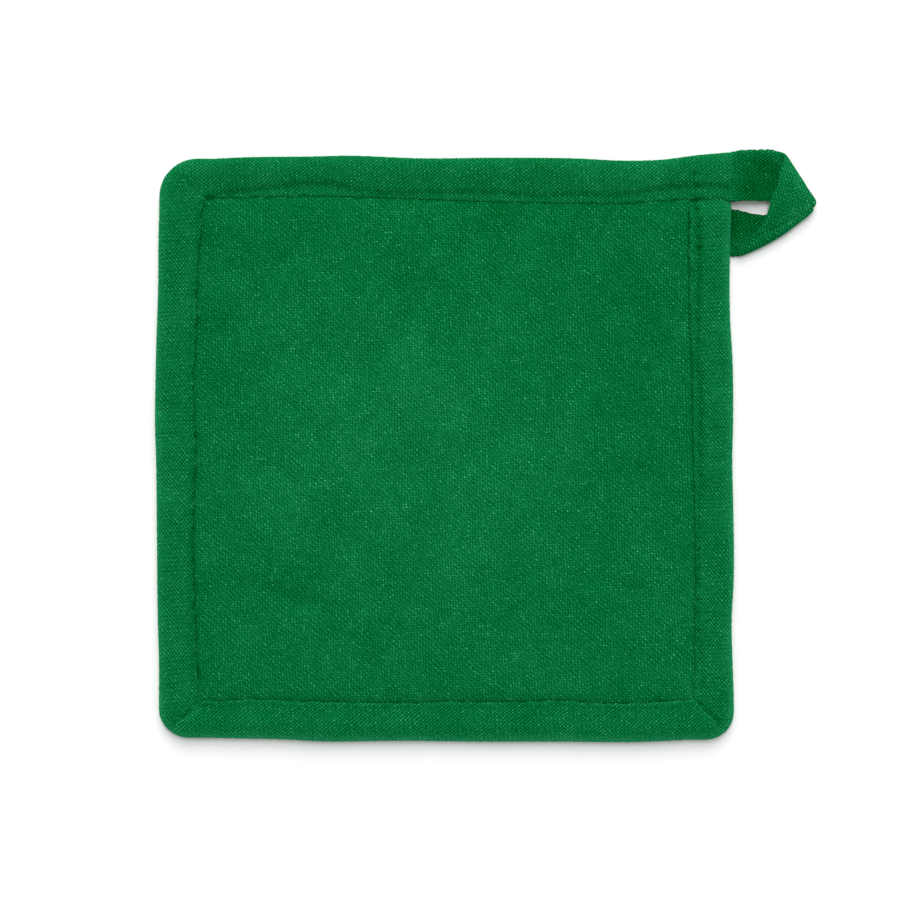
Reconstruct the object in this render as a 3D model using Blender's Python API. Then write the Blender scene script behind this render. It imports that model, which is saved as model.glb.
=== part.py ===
"""Padded square pot holder with a bias binding and a folded hanging loop.

Three pieces, one object each: the filled pad, the binding that wraps its
edge, and the tail of the same tape, which leaves the top right corner as the
hanging loop and is sewn under the right side. Metres, +Z up. The origin is
the middle of the pad's underside, and +Y points to the side with the loop.
"""
import bisect
import math
from collections import namedtuple

import bmesh
import bpy
from mathutils import Vector

MM = 0.001

# ---------------------------------------------------------------- dimensions
# Fold edges of the binding on the front: the rectangle of panel that shows.
PANEL_LEFT = -86.3 * MM
PANEL_RIGHT = 85.6 * MM
PANEL_TOP = 87.0 * MM
PANEL_BOTTOM = -87.3 * MM
PANEL_CORNER_RADIUS = 1.2 * MM

# Outer corner radii of the bound edge.
RADIUS_TOP_LEFT = 13.3 * MM
RADIUS_BOTTOM_LEFT = 10.3 * MM
RADIUS_BOTTOM_RIGHT = 9.7 * MM
RADIUS_PAD_TOP_RIGHT = 4.0 * MM

CORNER_STEPS = 6               # sections in the turn of a corner
PANEL_COLUMNS = 15             # even cells across the panel
PANEL_ROWS = 13                # even cells up the panel, below the loop's tail
EDGE_CELL = 3.6 * MM           # narrow cell along each edge of the panel

# The bound edge wanders: place along a side and distance from the origin, mm.
#    along   out
EDGE_LEFT = [
    (-87.3, 99.4), (-73.4, 99.4), (-59.5, 99.8), (-31.6, 100.1), (-3.8, 100.4),
    (10.1, 100.8), (24.0, 100.6), (37.9, 100.3), (51.8, 99.8), (79.6, 99.4), (87.0, 99.1),
]
EDGE_RIGHT = [
    (-87.3, 100.6), (-73.4, 100.1), (-59.5, 99.8), (-45.6, 100.5), (-17.7, 100.3),
    (-3.8, 100.0), (10.1, 100.3), (31.0, 100.1), (44.9, 99.3), (65.7, 99.1), (87.0, 99.7),
]
EDGE_TOP = [
    (-86.3, 100.8), (-71.0, 101.6), (-43.2, 102.0), (-36.2, 102.2), (-8.4, 101.3),
    (19.4, 101.5), (47.2, 101.2), (61.1, 100.5), (75.1, 100.8), (89.0, 102.5), (100.0, 103.4),
]
EDGE_BOTTOM = [
    (-86.3, 100.2), (-71.0, 100.5), (-57.1, 100.8), (-43.2, 101.5), (-15.4, 101.3),
    (12.4, 101.6), (40.3, 101.6), (68.1, 101.7), (82.0, 101.1), (85.6, 100.9),
]

# Section of the binding, once round the folded tape, in mm: distance in from
# the bound edge and height. tail is the share of the loop tail's thickness
# that lifts a row where the tail passes under the edge, and mitre the share
# of the crease in a mitred corner.
TAPE_FRONT = 13.9 * MM         # width of the binding on the front
BINDING_SECTION = [
    # row                inward height tail  mitre
    ("back_hem",          13.6,  0.0,  1.00, 0.0),
    ("underside",          2.2,  0.0,  1.00, 0.0),
    ("outer_low",          0.5,  1.0,  0.80, 0.0),
    ("outer_edge",         0.0,  2.7,  0.35, 0.1),
    ("outer_high",         0.5,  4.2,  0.25, 0.4),
    ("roll_outside",       2.4,  5.3,  0.25, 0.9),
    ("roll_top",           5.4,  5.7,  0.25, 1.0),
    ("roll_inside",        8.4,  5.1,  0.30, 1.0),
    ("stitch_groove",     10.4,  4.1,  0.30, 0.6),
    ("lip_crest",         12.3,  4.8,  0.30, 0.5),
    ("front_hem",         13.8,  4.4,  0.30, 0.3),
    ("front_hem_under",   13.9,  3.6,  0.30, 0.3),
    ("ceiling_groove",    10.4,  3.2,  0.30, 0.6),
    ("ceiling_inside",     8.0,  4.0,  0.30, 1.0),
    ("ceiling_top",        5.4,  4.5,  0.25, 1.0),
    ("ceiling_outside",    3.0,  4.1,  0.25, 0.9),
    ("channel_end",        1.2,  2.7,  0.35, 0.1),
    ("floor_outside",      2.8,  1.0,  0.95, 0.0),
    ("back_hem_top",      13.6,  1.0,  1.00, 0.0),
]
MITRE_CREASE = 0.7 * MM
CROSSING_DROP = 0.2            # the right strip flattens under the top strip

# Edge of the pad, from its underside round to the panel, in mm. In the
# channel each row keeps 0.3 mm to the tape.
PAD_EDGE = [
    # row                inward height tail  mitre
    ("step_low",          15.1,  0.0,  0.00, 0.0),
    ("step_high",         14.1,  1.35, 0.80, 0.0),
    ("floor",              3.2,  1.35, 0.98, 0.0),
    ("edge",               1.7,  2.6,  0.40, 0.1),
    ("shoulder_outside",   3.4,  3.7,  0.25, 0.9),
    ("shoulder_top",       5.4,  4.1,  0.25, 1.0),
    ("shoulder_inside",    8.0,  3.6,  0.30, 1.0),
    ("stitched_down",     10.4,  2.8,  0.30, 0.6),
    ("panel_edge",        13.9,  3.2,  0.30, 0.3),
    ("panel_start",       15.1,  3.5,  0.00, 0.0),
]
PANEL_START = PAD_EDGE[-1][2] * MM
PRESSED_TOP = 2.2 * MM         # the pad's corner, flat under the crossing tapes

# Puff of the panel above its sewn edge.
PANEL_CROWN = 7.2 * MM
PUFF_REACH = 11.0 * MM

# Soft creases and swells of the panel, in mm and degrees. A row is a ridge or
# trough round a line of the given middle, length and angle.
PANEL_RELIEF = [
    # x      y      length angle  width height
    (-62.7, -49.4,  41.0,  -14.0,  7.0, -0.6),
    (25.0,  -43.8,  24.0,    7.0,  7.0, -0.5),
    (62.9,  -48.3,  36.0,   -9.0,  7.0, -0.6),
    (1.3,   -56.5,  18.0,   90.0,  7.0, -0.4),
    (-62.0,  58.8,  55.0,   46.0,  8.0, -0.5),
    (-4.9,   56.0,  71.0,   50.0,  8.0, -0.6),
    (64.6,   53.6,  63.0,  -53.0,  8.0, -0.5),
    (65.0,   -7.7,   6.0,    0.0,  8.0, -0.5),
    (35.0,  -24.3,   6.0,    0.0,  8.0, -0.5),
    (-16.8,  20.5,  30.0,   20.0, 22.0,  0.6),
    (40.0,   12.0,  24.0,  -40.0, 18.0,  0.3),
    (-50.0, -20.0,  26.0,   60.0, 18.0,  0.3),
]

# The loop's tail passes under the right side, which lifts over it.
TAIL_LIFT = 1.8 * MM
TAIL_RECESS = [
    # along, share of TAIL_LIFT
    (57.0, 0.0), (61.0, 0.15), (63.4, 0.8), (65.6, 1.0), (75.0, 1.0), (84.1, 1.0), (85.8, 0.0),
]
RIGHT_STRIP_END = 86.6 * MM    # the strip stops at the top strip's fold edge
TOP_STRIP_PLACES = [86.6 * MM, 90.5 * MM, 95.0 * MM, 99.9 * MM]

# The loop's tape from the corner to its sewn end: its spine edge and its hem
# edge, as x, y and height of the middle of its thickness, then the thickness,
# all in mm.
#    spine x  spine y spine z  hem x  hem y  hem z  thickness
LOOP_RISE = [
    (100.2, 103.4, 2.9, 100.2, 86.3, 2.6, 4.4),
    (102.4, 103.9, 3.0, 102.6, 86.3, 2.5, 3.2),
    (105.2, 104.2, 2.9, 106.2, 86.3, 2.0, 2.2),
    (108.4, 104.3, 2.4, 110.4, 86.3, 1.1, 1.7),
    (111.6, 104.1, 1.5, 114.6, 86.0, 0.75, 1.5),
    (114.2, 103.5, 0.8, 120.2, 85.6, 0.75, 1.5),
]
LOOP_MIDDLE = [
    (115.3, 93.8, 2.8, 128.2, 84.8, 2.7, 1.5),
    (113.1, 86.2, 3.1, 128.3, 84.4, 2.8, 1.5),
    (111.4, 80.3, 3.1, 128.2, 84.0, 2.8, 1.5),
    (109.0, 74.4, 2.8, 127.9, 83.7, 2.7, 1.5),
]
LOOP_TAIL = [
    (104.4, 68.5, 0.75, 119.2, 82.2, 0.75, 1.5),
    (102.6, 67.6, 0.75, 111.2, 81.2, 0.75, 1.5),
    (100.4, 67.2, 0.75, 100.4, 83.3, 0.75, 1.5),
    (94.0, 67.3, 0.75, 94.0, 83.4, 0.75, 1.5),
    (87.4, 67.3, 0.75, 87.4, 83.3, 0.75, 1.5),
]
# A turned fold: the ends of the line that the tape turns round, the way it
# bulges, and the heights of the tape's middle below and above, in mm.
Fold = namedtuple("Fold", "spine hem bulge low high")
FOLD_FAR = Fold((116.4, 102.4), (127.9, 85.2), (0.856, 0.517), 0.75, 2.55)
FOLD_NEAR = Fold((106.0, 69.8), (127.5, 83.5), (0.542, -0.840), 0.75, 2.55)
FOLD_STEPS = 4
FOLD_THICKNESS = 1.5 * MM

# Section of the loop's tape: share of the way from spine to hem, and share of
# half its thickness, once round.
TAPE_SECTION = [
    (0.0, 0.0), (0.05, 0.8), (0.3, 1.0), (0.7, 1.0), (0.95, 0.8),
    (1.0, 0.0), (0.95, -0.8), (0.7, -1.0), (0.3, -1.0), (0.05, -0.8),
]

CLOTH_GREEN = (0.004, 0.162, 0.047, 1.0)
WELD = 0.005 * MM

# One section across the bound edge: the points on the bound edge and on the
# fold edge, the way into the panel, and the shares of the local shapes.
Station = namedtuple("Station", "outer inner inward tail mitre crossing")
# One section across the loop's tape.
Ruling = namedtuple("Ruling", "spine hem normal thickness")


# ------------------------------------------------------------------- helpers
def clear_scene():
    for obj in list(bpy.data.objects):
        bpy.data.objects.remove(obj, do_unlink=True)


def make_collection(name):
    collection = bpy.data.collections.new(name)
    bpy.context.scene.collection.children.link(collection)
    return collection


def cloth_material(name, color, roughness):
    material = bpy.data.materials.new(name)
    material.use_nodes = True
    bsdf = material.node_tree.nodes["Principled BSDF"]
    bsdf.inputs["Base Color"].default_value = color
    bsdf.inputs["Roughness"].default_value = roughness
    bsdf.inputs["Metallic"].default_value = 0.0
    return material


def evenly(start, end, cells):
    return [start + (end - start) * k / cells for k in range(cells + 1)]


def smooth_table(rows, along):
    """Value of a two-column table at a place, eased between its rows."""
    places = [row[0] for row in rows]
    if along <= places[0]:
        return rows[0][1]
    if along >= places[-1]:
        return rows[-1][1]
    high = bisect.bisect_right(places, along)
    (place_a, value_a), (place_b, value_b) = rows[high - 1], rows[high]
    share = (along - place_a) / (place_b - place_a)
    share = share * share * (3.0 - 2.0 * share)
    return value_a + (value_b - value_a) * share


def edge_place(table, along):
    """Distance of a side's bound edge from the origin, in metres."""
    return smooth_table(table, along / MM) * MM


def bend_grid(bm, rows):
    """Add a grid whose points lie at rows[i][j]."""
    cells_i = len(rows) - 1
    cells_j = len(rows[0]) - 1
    made = bmesh.ops.create_grid(bm, x_segments=cells_j, y_segments=cells_i, size=0.5)
    for vert in made["verts"]:
        i = round((vert.co.y + 0.5) * cells_i)
        j = round((vert.co.x + 0.5) * cells_j)
        vert.co = rows[i][j]


def weld(bm):
    bmesh.ops.remove_doubles(bm, verts=bm.verts, dist=WELD)


def close_ends(bm):
    """Weld the grid's seams, and fill the openings that are left."""
    weld(bm)
    bmesh.ops.holes_fill(bm, edges=bm.edges, sides=0)
    bmesh.ops.recalc_face_normals(bm, faces=bm.faces)


def finish_object(bm, name, material, collection, parent):
    mesh = bpy.data.meshes.new(name)
    bm.to_mesh(mesh)
    bm.free()
    mesh.materials.append(material)
    mesh.shade_smooth()
    obj = bpy.data.objects.new(name, mesh)
    obj.parent = parent
    collection.objects.link(obj)
    return obj


# ---------------------------------------------------- sections of the edge
def panel_columns():
    left = PANEL_LEFT + PANEL_CORNER_RADIUS
    right = PANEL_RIGHT - PANEL_CORNER_RADIUS
    even = evenly(left + EDGE_CELL, right - EDGE_CELL, PANEL_COLUMNS)
    return [left] + even + [right]


def panel_rows():
    bottom = PANEL_BOTTOM + PANEL_CORNER_RADIUS
    recess = [row[0] * MM for row in TAIL_RECESS]
    return [bottom] + evenly(bottom + EDGE_CELL, recess[0], PANEL_ROWS) + recess[1:]


def top_station(x, crossing=0.0):
    outer = Vector((x, edge_place(EDGE_TOP, x)))
    return Station(outer, Vector((x, PANEL_TOP)), Vector((0.0, -1.0)), 0.0, 0.0, crossing)


def bottom_station(x):
    outer = Vector((x, -edge_place(EDGE_BOTTOM, x)))
    return Station(outer, Vector((x, PANEL_BOTTOM)), Vector((0.0, 1.0)), 0.0, 0.0, 0.0)


def left_station(y):
    outer = Vector((-edge_place(EDGE_LEFT, y), y))
    return Station(outer, Vector((PANEL_LEFT, y)), Vector((1.0, 0.0)), 0.0, 0.0, 0.0)


def right_station(y):
    outer = Vector((edge_place(EDGE_RIGHT, y), y))
    crossing = 1.0 if y / MM >= TAIL_RECESS[-1][0] else 0.0
    tail = smooth_table(TAIL_RECESS, y / MM)
    return Station(outer, Vector((PANEL_RIGHT, y)), Vector((-1.0, 0.0)), tail, 0.0, crossing)


def ray_to_round_corner(center, ray, corner, radius):
    """Where a ray from center meets the sides through corner, rounded off.

    The sides run along X and Y. Past the start of the arc, the ray meets the
    circle of the given radius that touches both sides.
    """
    reach = corner - center
    side = min(abs(reach.x / ray.x), abs(reach.y / ray.y))
    hit = center + ray * side
    sign = Vector((math.copysign(1.0, reach.x), math.copysign(1.0, reach.y)))
    arc_center = corner - sign * radius
    past = hit - arc_center
    if past.x * sign.x <= 0.0 or past.y * sign.y <= 0.0:
        return hit
    start = center - arc_center
    b = start.dot(ray)
    return center + ray * (-b + math.sqrt(b * b - start.length_squared + radius * radius))


def corner_stations(before, after, radius, mitre, crossing):
    """Sections that fan round a corner, between the last of one side and the
    first of the next. They run out from the middle of the fold edge's arc."""
    center = before.inner + before.inward * PANEL_CORNER_RADIUS
    corner = Vector((before.outer.x, after.outer.y))
    if abs(before.inward.y) > 0.5:
        corner = Vector((after.outer.x, before.outer.y))
    stations = []
    for step in range(1, CORNER_STEPS):
        angle = math.radians(90.0) * step / CORNER_STEPS
        ray = -before.inward * math.cos(angle) - after.inward * math.sin(angle)
        outer = ray_to_round_corner(center, ray, corner, radius)
        inner = center + ray * PANEL_CORNER_RADIUS
        crease = mitre if step * 2 == CORNER_STEPS else 0.0
        stations.append(Station(outer, inner, -ray, 0.0, crease, crossing))
    return stations


def mitred_run():
    """Sections from the right side's top down and round to the top side's
    right, as the binding is sewn on."""
    columns = panel_columns()
    rows = panel_rows()
    right = [right_station(y) for y in reversed(rows)]
    bottom = [bottom_station(x) for x in reversed(columns)]
    left = [left_station(y) for y in rows]
    top = [top_station(x) for x in columns]
    run = list(right)
    for side, radius in ((bottom, RADIUS_BOTTOM_RIGHT), (left, RADIUS_BOTTOM_LEFT),
                         (top, RADIUS_TOP_LEFT)):
        run += corner_stations(run[-1], side[0], radius, 1.0, 0.0)
        run += side
    return run


def section_place(station, inward):
    """Point above which a row lies: shares of the way from the bound edge to
    the fold edge, then on into the panel."""
    if inward <= TAPE_FRONT:
        return station.outer.lerp(station.inner, inward / TAPE_FRONT)
    return station.inner + station.inward * (inward - TAPE_FRONT)


def section_points(station, table):
    points = []
    for _, inward, height, tail, mitre in table:
        place = section_place(station, inward * MM)
        lift = tail * station.tail * TAIL_LIFT - mitre * station.mitre * MITRE_CREASE
        points.append(Vector((place.x, place.y, height * MM + lift)))
    return points


# ------------------------------------------------------------------- binding
def binding_ring(station):
    ring = section_points(station, BINDING_SECTION)
    flatten = 1.0 - CROSSING_DROP * station.crossing
    ring = [Vector((p.x, p.y, p.z * flatten)) for p in ring]
    return ring + ring[:1]


def make_binding(material, collection, parent):
    """The folded tape, lofted from section to section along the edge."""
    stations = [right_station(RIGHT_STRIP_END)] + mitred_run()
    stations += [top_station(x) for x in TOP_STRIP_PLACES]
    bm = bmesh.new()
    bend_grid(bm, [binding_ring(station) for station in stations])
    close_ends(bm)
    return finish_object(bm, "binding", material, collection, parent)


# ----------------------------------------------------------------------- pad
def puff(distance):
    """Share of the crown's height at a distance from the sewn edge."""
    return 1.0 - math.exp(-max(distance, 0.0) / PUFF_REACH)


def relief(x, y):
    total = 0.0
    for mid_x, mid_y, length, angle, width, height in PANEL_RELIEF:
        turn = math.radians(angle)
        dx = x / MM - mid_x
        dy = y / MM - mid_y
        along = dx * math.cos(turn) + dy * math.sin(turn)
        across = dy * math.cos(turn) - dx * math.sin(turn)
        past_end = max(abs(along) - length / 2.0, 0.0)
        total += height * math.exp(-(past_end ** 2 + across ** 2) / (width / 2.0) ** 2)
    return total * MM


def panel_height(x, y, columns, rows):
    across = puff(x - columns[0]) * puff(columns[-1] - x)
    up = puff(y - rows[0]) * puff(rows[-1] - y)
    return PANEL_START + (PANEL_CROWN - PANEL_START + relief(x, y)) * across * up


def pad_ring(station):
    ring = section_points(station, PAD_EDGE)
    if station.crossing:
        ring[:-1] = [Vector((p.x, p.y, min(p.z, PRESSED_TOP))) for p in ring[:-1]]
    return ring


def make_pad(material, collection, parent):
    """The filled panel: its edge is lofted round the outline, and a grid
    closes the puffed front. The corners of its rings weld to the grid's."""
    run = mitred_run()
    run += corner_stations(run[-1], run[0], RADIUS_PAD_TOP_RIGHT, 0.0, 1.0)
    columns = panel_columns()
    rows = panel_rows()
    front = [[Vector((x, y, panel_height(x, y, columns, rows))) for x in columns] for y in rows]
    bm = bmesh.new()
    bend_grid(bm, [pad_ring(station) for station in run + run[:1]])
    bend_grid(bm, front)
    close_ends(bm)
    return finish_object(bm, "pad", material, collection, parent)


# ---------------------------------------------------------------------- loop
def flat_rulings(table, face):
    rulings = []
    for spine_x, spine_y, spine_z, hem_x, hem_y, hem_z, thickness in table:
        spine = Vector((spine_x, spine_y, spine_z)) * MM
        hem = Vector((hem_x, hem_y, hem_z)) * MM
        rulings.append(Ruling(spine, hem, Vector((0.0, 0.0, face)), thickness * MM))
    return rulings


def fold_rulings(fold, rising):
    """Sections round a turned fold: a half turn of the tape about the fold's
    line, from its lower height to its upper one, or back down."""
    middle = (fold.low + fold.high) / 2.0
    radius = (fold.high - fold.low) / 2.0
    rulings = []
    for step in range(FOLD_STEPS + 1):
        angle = math.radians(-90.0 + 180.0 * step / FOLD_STEPS)
        out = Vector((fold.bulge[0] * math.cos(angle), fold.bulge[1] * math.cos(angle),
                      math.sin(angle)))
        spine = (Vector((fold.spine[0], fold.spine[1], middle)) + out * radius) * MM
        hem = (Vector((fold.hem[0], fold.hem[1], middle)) + out * radius) * MM
        rulings.append(Ruling(spine, hem, -out, FOLD_THICKNESS))
    return rulings if rising else rulings[::-1]


def tape_ring(ruling):
    ring = []
    for across, share in TAPE_SECTION:
        middle = ruling.spine.lerp(ruling.hem, across)
        ring.append(middle + ruling.normal * (share * ruling.thickness / 2.0))
    return ring + ring[:1]


def make_loop(material, collection, parent):
    """The tape's tail: out of the corner, turned over at the far fold, back
    across, turned again at the near fold and home under the right side."""
    rulings = flat_rulings(LOOP_RISE, 1.0) + fold_rulings(FOLD_FAR, True)
    rulings += flat_rulings(LOOP_MIDDLE, -1.0) + fold_rulings(FOLD_NEAR, False)
    rulings += flat_rulings(LOOP_TAIL, 1.0)
    bm = bmesh.new()
    bend_grid(bm, [tape_ring(ruling) for ruling in rulings])
    close_ends(bm)
    return finish_object(bm, "hanging_loop", material, collection, parent)


def main():
    clear_scene()
    collection = make_collection("pot_holder")
    parent = bpy.data.objects.new("pot_holder", None)
    collection.objects.link(parent)
    make_pad(cloth_material("panel_cloth", CLOTH_GREEN, 0.9), collection, parent)
    make_binding(cloth_material("binding_tape", CLOTH_GREEN, 0.9), collection, parent)
    make_loop(cloth_material("loop_tape", CLOTH_GREEN, 0.9), collection, parent)


main()
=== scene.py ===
"""Looks of a padded square pot holder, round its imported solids.

The filled panel and the tape that binds it and runs on as the hanging loop are
surfaces worked out on grids, in metres, +Z up, with the origin in the middle of
the underside. The stitches lie in the tape's sewn groove.
"""

import bpy
import numpy as np
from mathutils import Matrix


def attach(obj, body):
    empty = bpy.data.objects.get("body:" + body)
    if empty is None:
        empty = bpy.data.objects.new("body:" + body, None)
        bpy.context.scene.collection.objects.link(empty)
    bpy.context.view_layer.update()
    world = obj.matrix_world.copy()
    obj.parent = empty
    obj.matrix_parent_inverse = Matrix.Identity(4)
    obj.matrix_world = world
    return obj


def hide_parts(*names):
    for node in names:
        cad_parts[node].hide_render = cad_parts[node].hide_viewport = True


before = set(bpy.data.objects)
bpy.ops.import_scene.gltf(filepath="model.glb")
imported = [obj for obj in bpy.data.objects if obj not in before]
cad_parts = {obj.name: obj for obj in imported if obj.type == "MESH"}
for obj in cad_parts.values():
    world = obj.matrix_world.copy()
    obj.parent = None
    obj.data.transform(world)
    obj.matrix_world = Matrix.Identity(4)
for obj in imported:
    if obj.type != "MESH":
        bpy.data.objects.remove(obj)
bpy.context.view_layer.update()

MM = 0.001
BODY = "root"

# ------------------------------------------------------------ bound edge, mm
# Sides in the order in which the tape is sewn on: the way along, the way out.
ALONG = np.array([(0.0, -1.0), (-1.0, 0.0), (0.0, 1.0), (1.0, 0.0)])
OUT = np.array([(1.0, 0.0), (0.0, -1.0), (-1.0, 0.0), (0.0, 1.0)])
RIGHT, BOTTOM, LEFT, TOP = range(4)
# At the turn on to each side: radius of the bound edge, radius of the fold edge,
# depth of the mitre's crease.
CORNER_RADIUS = {BOTTOM: 9.7, LEFT: 10.3, TOP: 13.3}
FOLD_RADIUS = {BOTTOM: 1.2, LEFT: 1.2, TOP: 4.2}
MITRE_CREASE = {BOTTOM: 0.5, LEFT: 0.45, TOP: 0.2}
PAD_CORNER_RADIUS = 4.0

# The bound edge wanders: place along X or Y, distance out.
EDGE = {
    RIGHT: [
        (-87.3, 100.6), (-73.4, 100.1), (-59.5, 99.8), (-45.6, 100.5), (-17.7, 100.3), (-3.8, 100),
        (10.1, 100.3), (31, 100.1), (44.9, 99.3), (65.7, 99.1), (87, 99.7),
    ],
    BOTTOM: [
        (-86.3, 100.2), (-71, 100.5), (-57.1, 100.8), (-43.2, 101.5), (-15.4, 101.3), (12.4, 101.6),
        (40.3, 101.6), (68.1, 101.7), (82, 101.1), (85.6, 100.9),
    ],
    LEFT: [
        (-87.3, 99.4), (-73.4, 99.4), (-59.5, 99.8), (-31.6, 100.1), (-3.8, 100.4), (10.1, 100.8),
        (24, 100.6), (37.9, 100.3), (51.8, 99.8), (79.6, 99.4), (87, 99.1),
    ],
    TOP: [
        (-86.3, 100.8), (-71, 101.6), (-43.2, 102), (-36.2, 102.2), (-8.4, 101.3), (19.4, 101.5),
        (47.2, 101.2), (61.1, 100.5), (75.1, 100.8), (89, 102.5), (100, 103.4),
    ],
}

# The fold edge, which is the tape's front hem: place along X or Y, distance out.
FOLD = {
    RIGHT: [
        (-85.3, 86.3), (-76, 86.8), (-62, 86.8), (-44, 87), (-26, 86.8), (-8, 86.3), (12, 86),
        (28, 85.8), (42, 85.2), (60, 84.8), (85, 84.9),
    ],
    BOTTOM: [
        (-84, 87.35), (-76, 87.25), (-69, 86.75), (-52, 87.35), (-36, 87.75), (-10, 87.95), (2, 87.55),
        (20, 87.75), (32, 87.45), (40, 87.15), (50, 87.95), (66, 88.15), (76, 87.55), (84, 86.95),
    ],
    LEFT: [
        (-85.6, 85.18), (-78, 85.78), (-64, 86.28), (-36, 87.28), (-14, 86.88), (-2, 86.28),
        (12, 86.88), (24, 87.18), (36, 86.48), (56, 85.98), (68, 85.48), (78, 84.38), (85.6, 84.08),
    ],
    TOP: [
        (-83, 87.05), (-65, 87.35), (-44, 87.75), (-20, 87.15), (0, 86.35), (20, 85.75), (40, 85.35),
        (62, 85.35), (74, 86.05), (82, 86.65), (94, 86.75), (99, 86.35),
    ],
}
# The sewn groove: place along X or Y, distance from the fold edge.
GROOVE = {
    RIGHT: [
        (-85, 3), (-78, 2.6), (-68, 1.7), (-56, 0.9), (-40, 0.9), (-26, 1.5), (-14, 2.3), (0, 2.8),
        (14, 3), (32, 2.3), (44, 2.8), (72, 3.3), (80, 2.9), (84, 2.2), (88, 1.8),
    ],
    BOTTOM: [(-84, 1.6), (-70, 1), (0, 0.8), (40, 0.8), (84, 2)],
    LEFT: [(-85, 1.6), (-60, 0.9), (20, 1), (34, 1.5), (44, 1), (85, 1)],
    TOP: [
        (-83, 1.2), (-72, 2.2), (-58, 3.6), (-40, 4.4), (-31, 2.6), (-16, 2), (0, 3), (20, 3.2),
        (36, 2.6), (46, 3.4), (54, 2.8), (68, 3.6), (80, 4.6), (99, 4.4),
    ],
}
SINK = {RIGHT: 0.45, BOTTOM: 0.1, LEFT: 0.1, TOP: 0.6}    # from the crest down to the hem
SINK_REACH = 3.0
GROOVE_SIDE = 1.2              # how far on the hem's side of the groove the front has sunk
GROOVE_DEPTH = {RIGHT: 0.16, BOTTOM: 0.08, LEFT: 0.08, TOP: 0.12}
HOLE_DEPTH = {RIGHT: 0.4, BOTTOM: 0.08, LEFT: 0.1, TOP: 0.16}
GROOVE_WIDTH = 0.9
HOLE_WIDTH = 0.75
HOLE_MEAN, HOLE_MOST = 0.6, 1.7    # how deep the holes are, as shares of HOLE_DEPTH
LIP_PLACE, LIP_WIDTH = 0.45, 1.2   # the lip between fold edge and groove: share of the way, width
CREST_IN, CREST_WIDTH = 4.6, 4.2    # the front's crest: in from the bound edge, width
# Uneven lines and surfaces are sums of so many waves, with lengths spread so far
# round the one that is given.
LINE_WAVES, SURFACE_WAVES = 9, 22
WAVE_SPREAD = (0.6, 1.8)
# Uneven lines along the tape: size, wavelength, seed.
HOLE_WAVE = (0.7, 9.0, 8)
GROOVE_WAVE = (0.35, 14.0, 9)
LIP_WAVE = (0.12, 8.0, 5)
CREST_WAVES = ((0.16, 22.0, 6), (0.08, 6.0, 7))
SEAM_SHADE_WAVE = (1.0, 9.0, 35)
RIM_FUZZ = (0.03, 2.6, 31)
FOLD_FUZZ_WAVE = (1.0, 4.5, 34)
LOOP_FUZZ = ((0.09, 2.4, 32), (0.09, 2.2, 33))    # at the spine, at the hems
FOLD_FUZZ = {RIGHT: 0.07, BOTTOM: 0.16, LEFT: 0.18, TOP: 0.14}    # how far the fold edge wavers
RIM_FUZZ_WIDTH, FOLD_FUZZ_WIDTH = 1.2, 1.0

# Tones are steps of 255 by which the cloth is lighter or, where the name says so, darker. The tones in
# this part are painted light and shade. How much darker it is by painted shade in the groove and along
# the fold edge: place along X or Y, levels.
GROOVE_SHADE = {
    RIGHT: [
        (-85, 1), (-60, 2), (-40, 5), (-17, 6), (0, 9), (17, 13), (30, 9), (47, 9), (60, 13), (75, 14),
        (88, 10),
    ],
    BOTTOM: [(-85, 3), (85, 3)],
    LEFT: [(-85, 4), (85, 4)],
    TOP: [(-85, 7), (-60, 6), (99, 4)],
}
# Painted shade along the fold edge, where the hem meets the panel; negative levels are painted light.
FOLD_SHADE = {
    RIGHT: [(-85, -2), (-66, 3), (-48, 11), (-30, 10), (0, 10), (45, 11), (60, 5), (85, 2)],
    BOTTOM: [(-85, -11), (-60, -8), (-50, -5), (-35, -8), (50, -9), (62, -14), (85, -16)],
    LEFT: [(-85, 1), (-62, 5), (-20, 6), (17, 1), (47, 1), (85, 3)],
    TOP: [(-85, 1), (99, 2)],
}
FOLD_SHADE_REACH = {RIGHT: 0.45, BOTTOM: 0.9, LEFT: 0.9, TOP: 0.9}
HOLE_SHADE = {RIGHT: 14, BOTTOM: 5, LEFT: 8, TOP: 9}    # painted shade: how much darker at the needle holes
SEAM_SHADE = {RIGHT: 4, BOTTOM: 7, LEFT: 11, TOP: 8}    # painted light and shade: how unevenly dark along the fold edge
# Widths of the painted shade in the groove, at the needle holes and along the fold edge.
GROOVE_SHADE_WIDTH, HOLE_SHADE_WIDTH, SEAM_SHADE_WIDTH = 1.3, 0.7, 0.8
# Painted highlight: how much lighter the cloth is at its outer edge, where the rounded rim catches the
# light; and painted light, or painted shade where negative, on the whole strip.
RIM_HIGHLIGHT = {RIGHT: 22, BOTTOM: 36, LEFT: 20, TOP: 4}
RIM_HIGHLIGHT_REACH = 2.2
STRIP_LIGHT = {RIGHT: 0, BOTTOM: -3, LEFT: 0, TOP: 0}
# Painted shade of short creases and stitch holes, and painted highlight where the levels are positive:
# middle x, y, length, angle, width, levels.
CREASE_SHADE = [
    (-89.7, -91.4, 3, 40, 1.3, -16), (-87.4, -92.2, 5, 40, 1.4, 9), (-82.9, -88.4, 4, 8, 1.6, -12),
    (92.4, -91.1, 8, -38, 1.2, -16), (74.9, -86.9, 1.5, 0, 3, -12), (-81.5, 87.5, 1.4, 0, 1.7, -40),
]

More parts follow.
